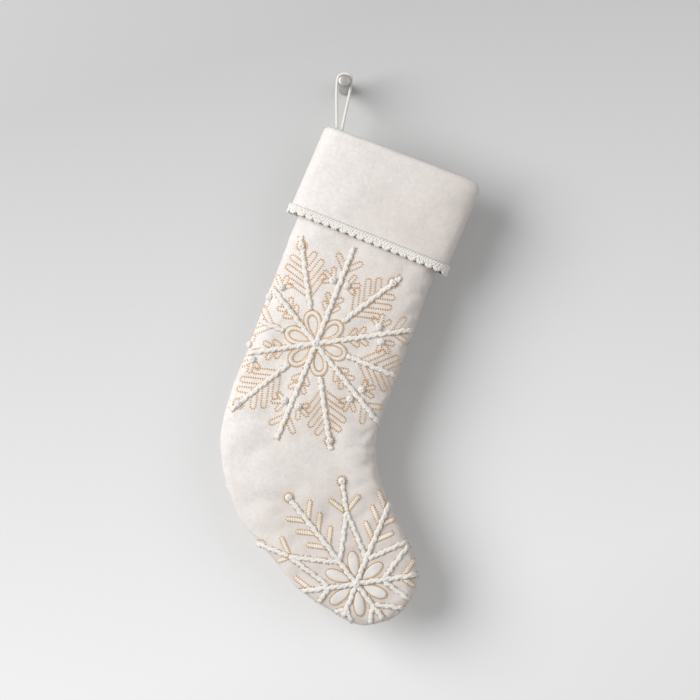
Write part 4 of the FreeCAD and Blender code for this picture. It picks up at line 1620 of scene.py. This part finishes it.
class MakeStage(bpy.types.Operator):
    """Pale wall, peg, soft light from the upper left, and the camera"""
    bl_idname = "stocking.stage"
    bl_label = "Stage"

    def execute(self, context):
        self.wall()
        self.peg()
        self.lamp("key", (-2.1, -2.26, 0.45), size=2.5, power=95.0)
        self.lamp("fill", (1.6, -2.4, 0.3), size=2.4, power=13.0)
        world = bpy.data.worlds.new("studio")
        world.use_nodes = True
        world.node_tree.nodes["Background"].inputs["Color"].default_value = (1, 1, 1, 1)
        world.node_tree.nodes["Background"].inputs["Strength"].default_value = 0.34
        bpy.context.scene.world = world
        bpy.context.scene.view_settings.view_transform = "Standard"
        camera = bpy.data.cameras.new("camera")
        camera.lens = 115.08
        camera.sensor_width = 36.0
        holder = placed("camera", camera)
        holder.location = (0.00603, -2.5, -0.2999)
        holder.rotation_euler = (math.pi / 2, 0, 0)
        bpy.context.scene.camera = holder
        return {"FINISHED"}

    def wall(self):
        """A flat wall close behind, darker towards the top: painted light falloff. It shows only from
        the front, and blocks no light.
        """
        tint = sizes("colours").wall
        reach = 3.0
        mesh = bpy.data.meshes.new("wall")
        corners = [(x * reach, WALL_GAP, z * reach) for x, z in ((-1, -1), (1, -1), (1, 1), (-1, 1))]
        mesh.from_pydata(corners, [], [(0, 1, 2, 3)])
        finish = Finish("wall paint with painted falloff", roughness=0.95)
        x, _, z = finish.parts(finish.object_place())
        # Painted light falloff: the colour darkens towards the top and lightens a little towards the
        # right
        rise = finish.add("ShaderNodeMapRange", values={
            "Value": z + x * -0.3, "From Min": -0.62, "From Max": 0.08, "To Min": 0, "To Max": 1})
        plaster = finish.noise(finish.object_place(), 60.0, 3.0)
        finish.done(finish.blend(rise, tint, darker(tint, 0.63)), plaster, 0.1 * MM)
        behind = finish.add("ShaderNodeNewGeometry", output=6)
        clear = finish.add("ShaderNodeBsdfTransparent")
        mix = finish.add("ShaderNodeMixShader", values={
            0: behind, 1: Wire(finish, finish.shader.outputs[0]), 2: clear})
        finish.feed(finish.tree.nodes["Material Output"].inputs[0], mix)
        mesh.materials.append(finish.material)
        wall = placed("wall", mesh)
        wall.visible_shadow = False

    def peg(self):
        """The peg that the loop hangs on: a round bar with a softened front edge."""
        back = WALL_GAP / MM
        rows = np.array([
            (0.0, -9.0), (0.72, -9.0), (0.9, -8.7), (1.0, -7.8), (1.0, back), (0.0, back)])
        turn = np.linspace(0, 2 * math.pi, 49)[:-1]
        radius = rows[:, :1] * 7.0 * MM
        points = together(radius * np.cos(turn), rows[:, 1:] * MM, radius * np.sin(turn))
        faces = corners_of(wrapped(numbered(len(rows), len(turn))), (0, 3, 2, 1))
        mesh = bpy.data.meshes.new("peg")
        mesh.from_pydata(points.reshape(-1, 3).tolist(), [], faces.reshape(-1, 4).tolist())
        tidy_mesh(mesh)
        mesh.shade_smooth()
        finish = Finish("brushed nickel", roughness=0.35)
        finish.shader.inputs["Metallic"].default_value = 0.6
        grain = finish.noise(finish.object_place(), 400.0, 2.0)
        mesh.materials.append(finish.done(
            finish.blend(grain, srgb(196, 194, 190), srgb(172, 170, 166)), grain, 0.05 * MM))
        placed("peg", mesh)

    def lamp(self, name, place, size, power):
        """A round lamp that faces the middle of the stocking."""
        light = bpy.data.lights.new(name, "AREA")
        light.shape = "DISK"
        light.size = size
        light.energy = power
        holder = placed(name, light)
        holder.location = place
        aim = Vector((0.0, 0.0, -0.3)) - Vector(place)
        holder.rotation_euler = aim.to_track_quat("-Z", "Y").to_euler()


class StockingPanel(bpy.types.Panel):
    """Sizes and makers of the stocking"""
    bl_idname = "VIEW3D_PT_stocking"
    bl_label = "Hanging stocking"
    bl_space_type = "VIEW_3D"
    bl_region_type = "UI"
    bl_category = "Stocking"

    def draw(self, context):
        """Lists every size and colour, then a button for each operator."""
        for part in GROUPS:
            box = self.layout.box()
            box.label(text=part.capitalize())
            group = sizes(part)
            for name in group.bl_rna.properties.keys():
                if name not in ("rna_type", "name"):
                    box.prop(group, name)
        for maker in MAKERS:
            self.layout.operator(maker.bl_idname)


GROUPS = {"leg": LegSizes, "cuff": CuffSizes, "embroidery": EmbroiderySizes,
          "colours": StockingColours}
MAKERS = (MakeStage, MakeHangingLoop, MakeLeg, MakeCuff, MakeEdging, MakeUpperSnowflake,
          MakeLowerSnowflake)


def register():
    """Makes Blender know the sizes, the operators and the panel."""
    for group in GROUPS.values():
        bpy.utils.register_class(group)
    for part, group in GROUPS.items():
        setattr(bpy.types.Scene, "stocking_" + part, PointerProperty(type=group))
    for maker in MAKERS:
        bpy.utils.register_class(maker)
    bpy.utils.register_class(StockingPanel)


def unregister():
    """Takes away what register added, in the opposite order."""
    bpy.utils.unregister_class(StockingPanel)
    for maker in reversed(MAKERS):
        bpy.utils.unregister_class(maker)
    for part, group in GROUPS.items():
        delattr(bpy.types.Scene, "stocking_" + part)
        bpy.utils.unregister_class(group)


def main():
    """Makes every piece."""
    register()
    bpy.ops.stocking.stage()
    bpy.ops.stocking.hanging_loop()
    bpy.ops.stocking.leg()
    bpy.ops.stocking.cuff()
    bpy.ops.stocking.edging()
    bpy.ops.stocking.upper_snowflake()
    bpy.ops.stocking.lower_snowflake()


if __name__ == "__main__":
    main()
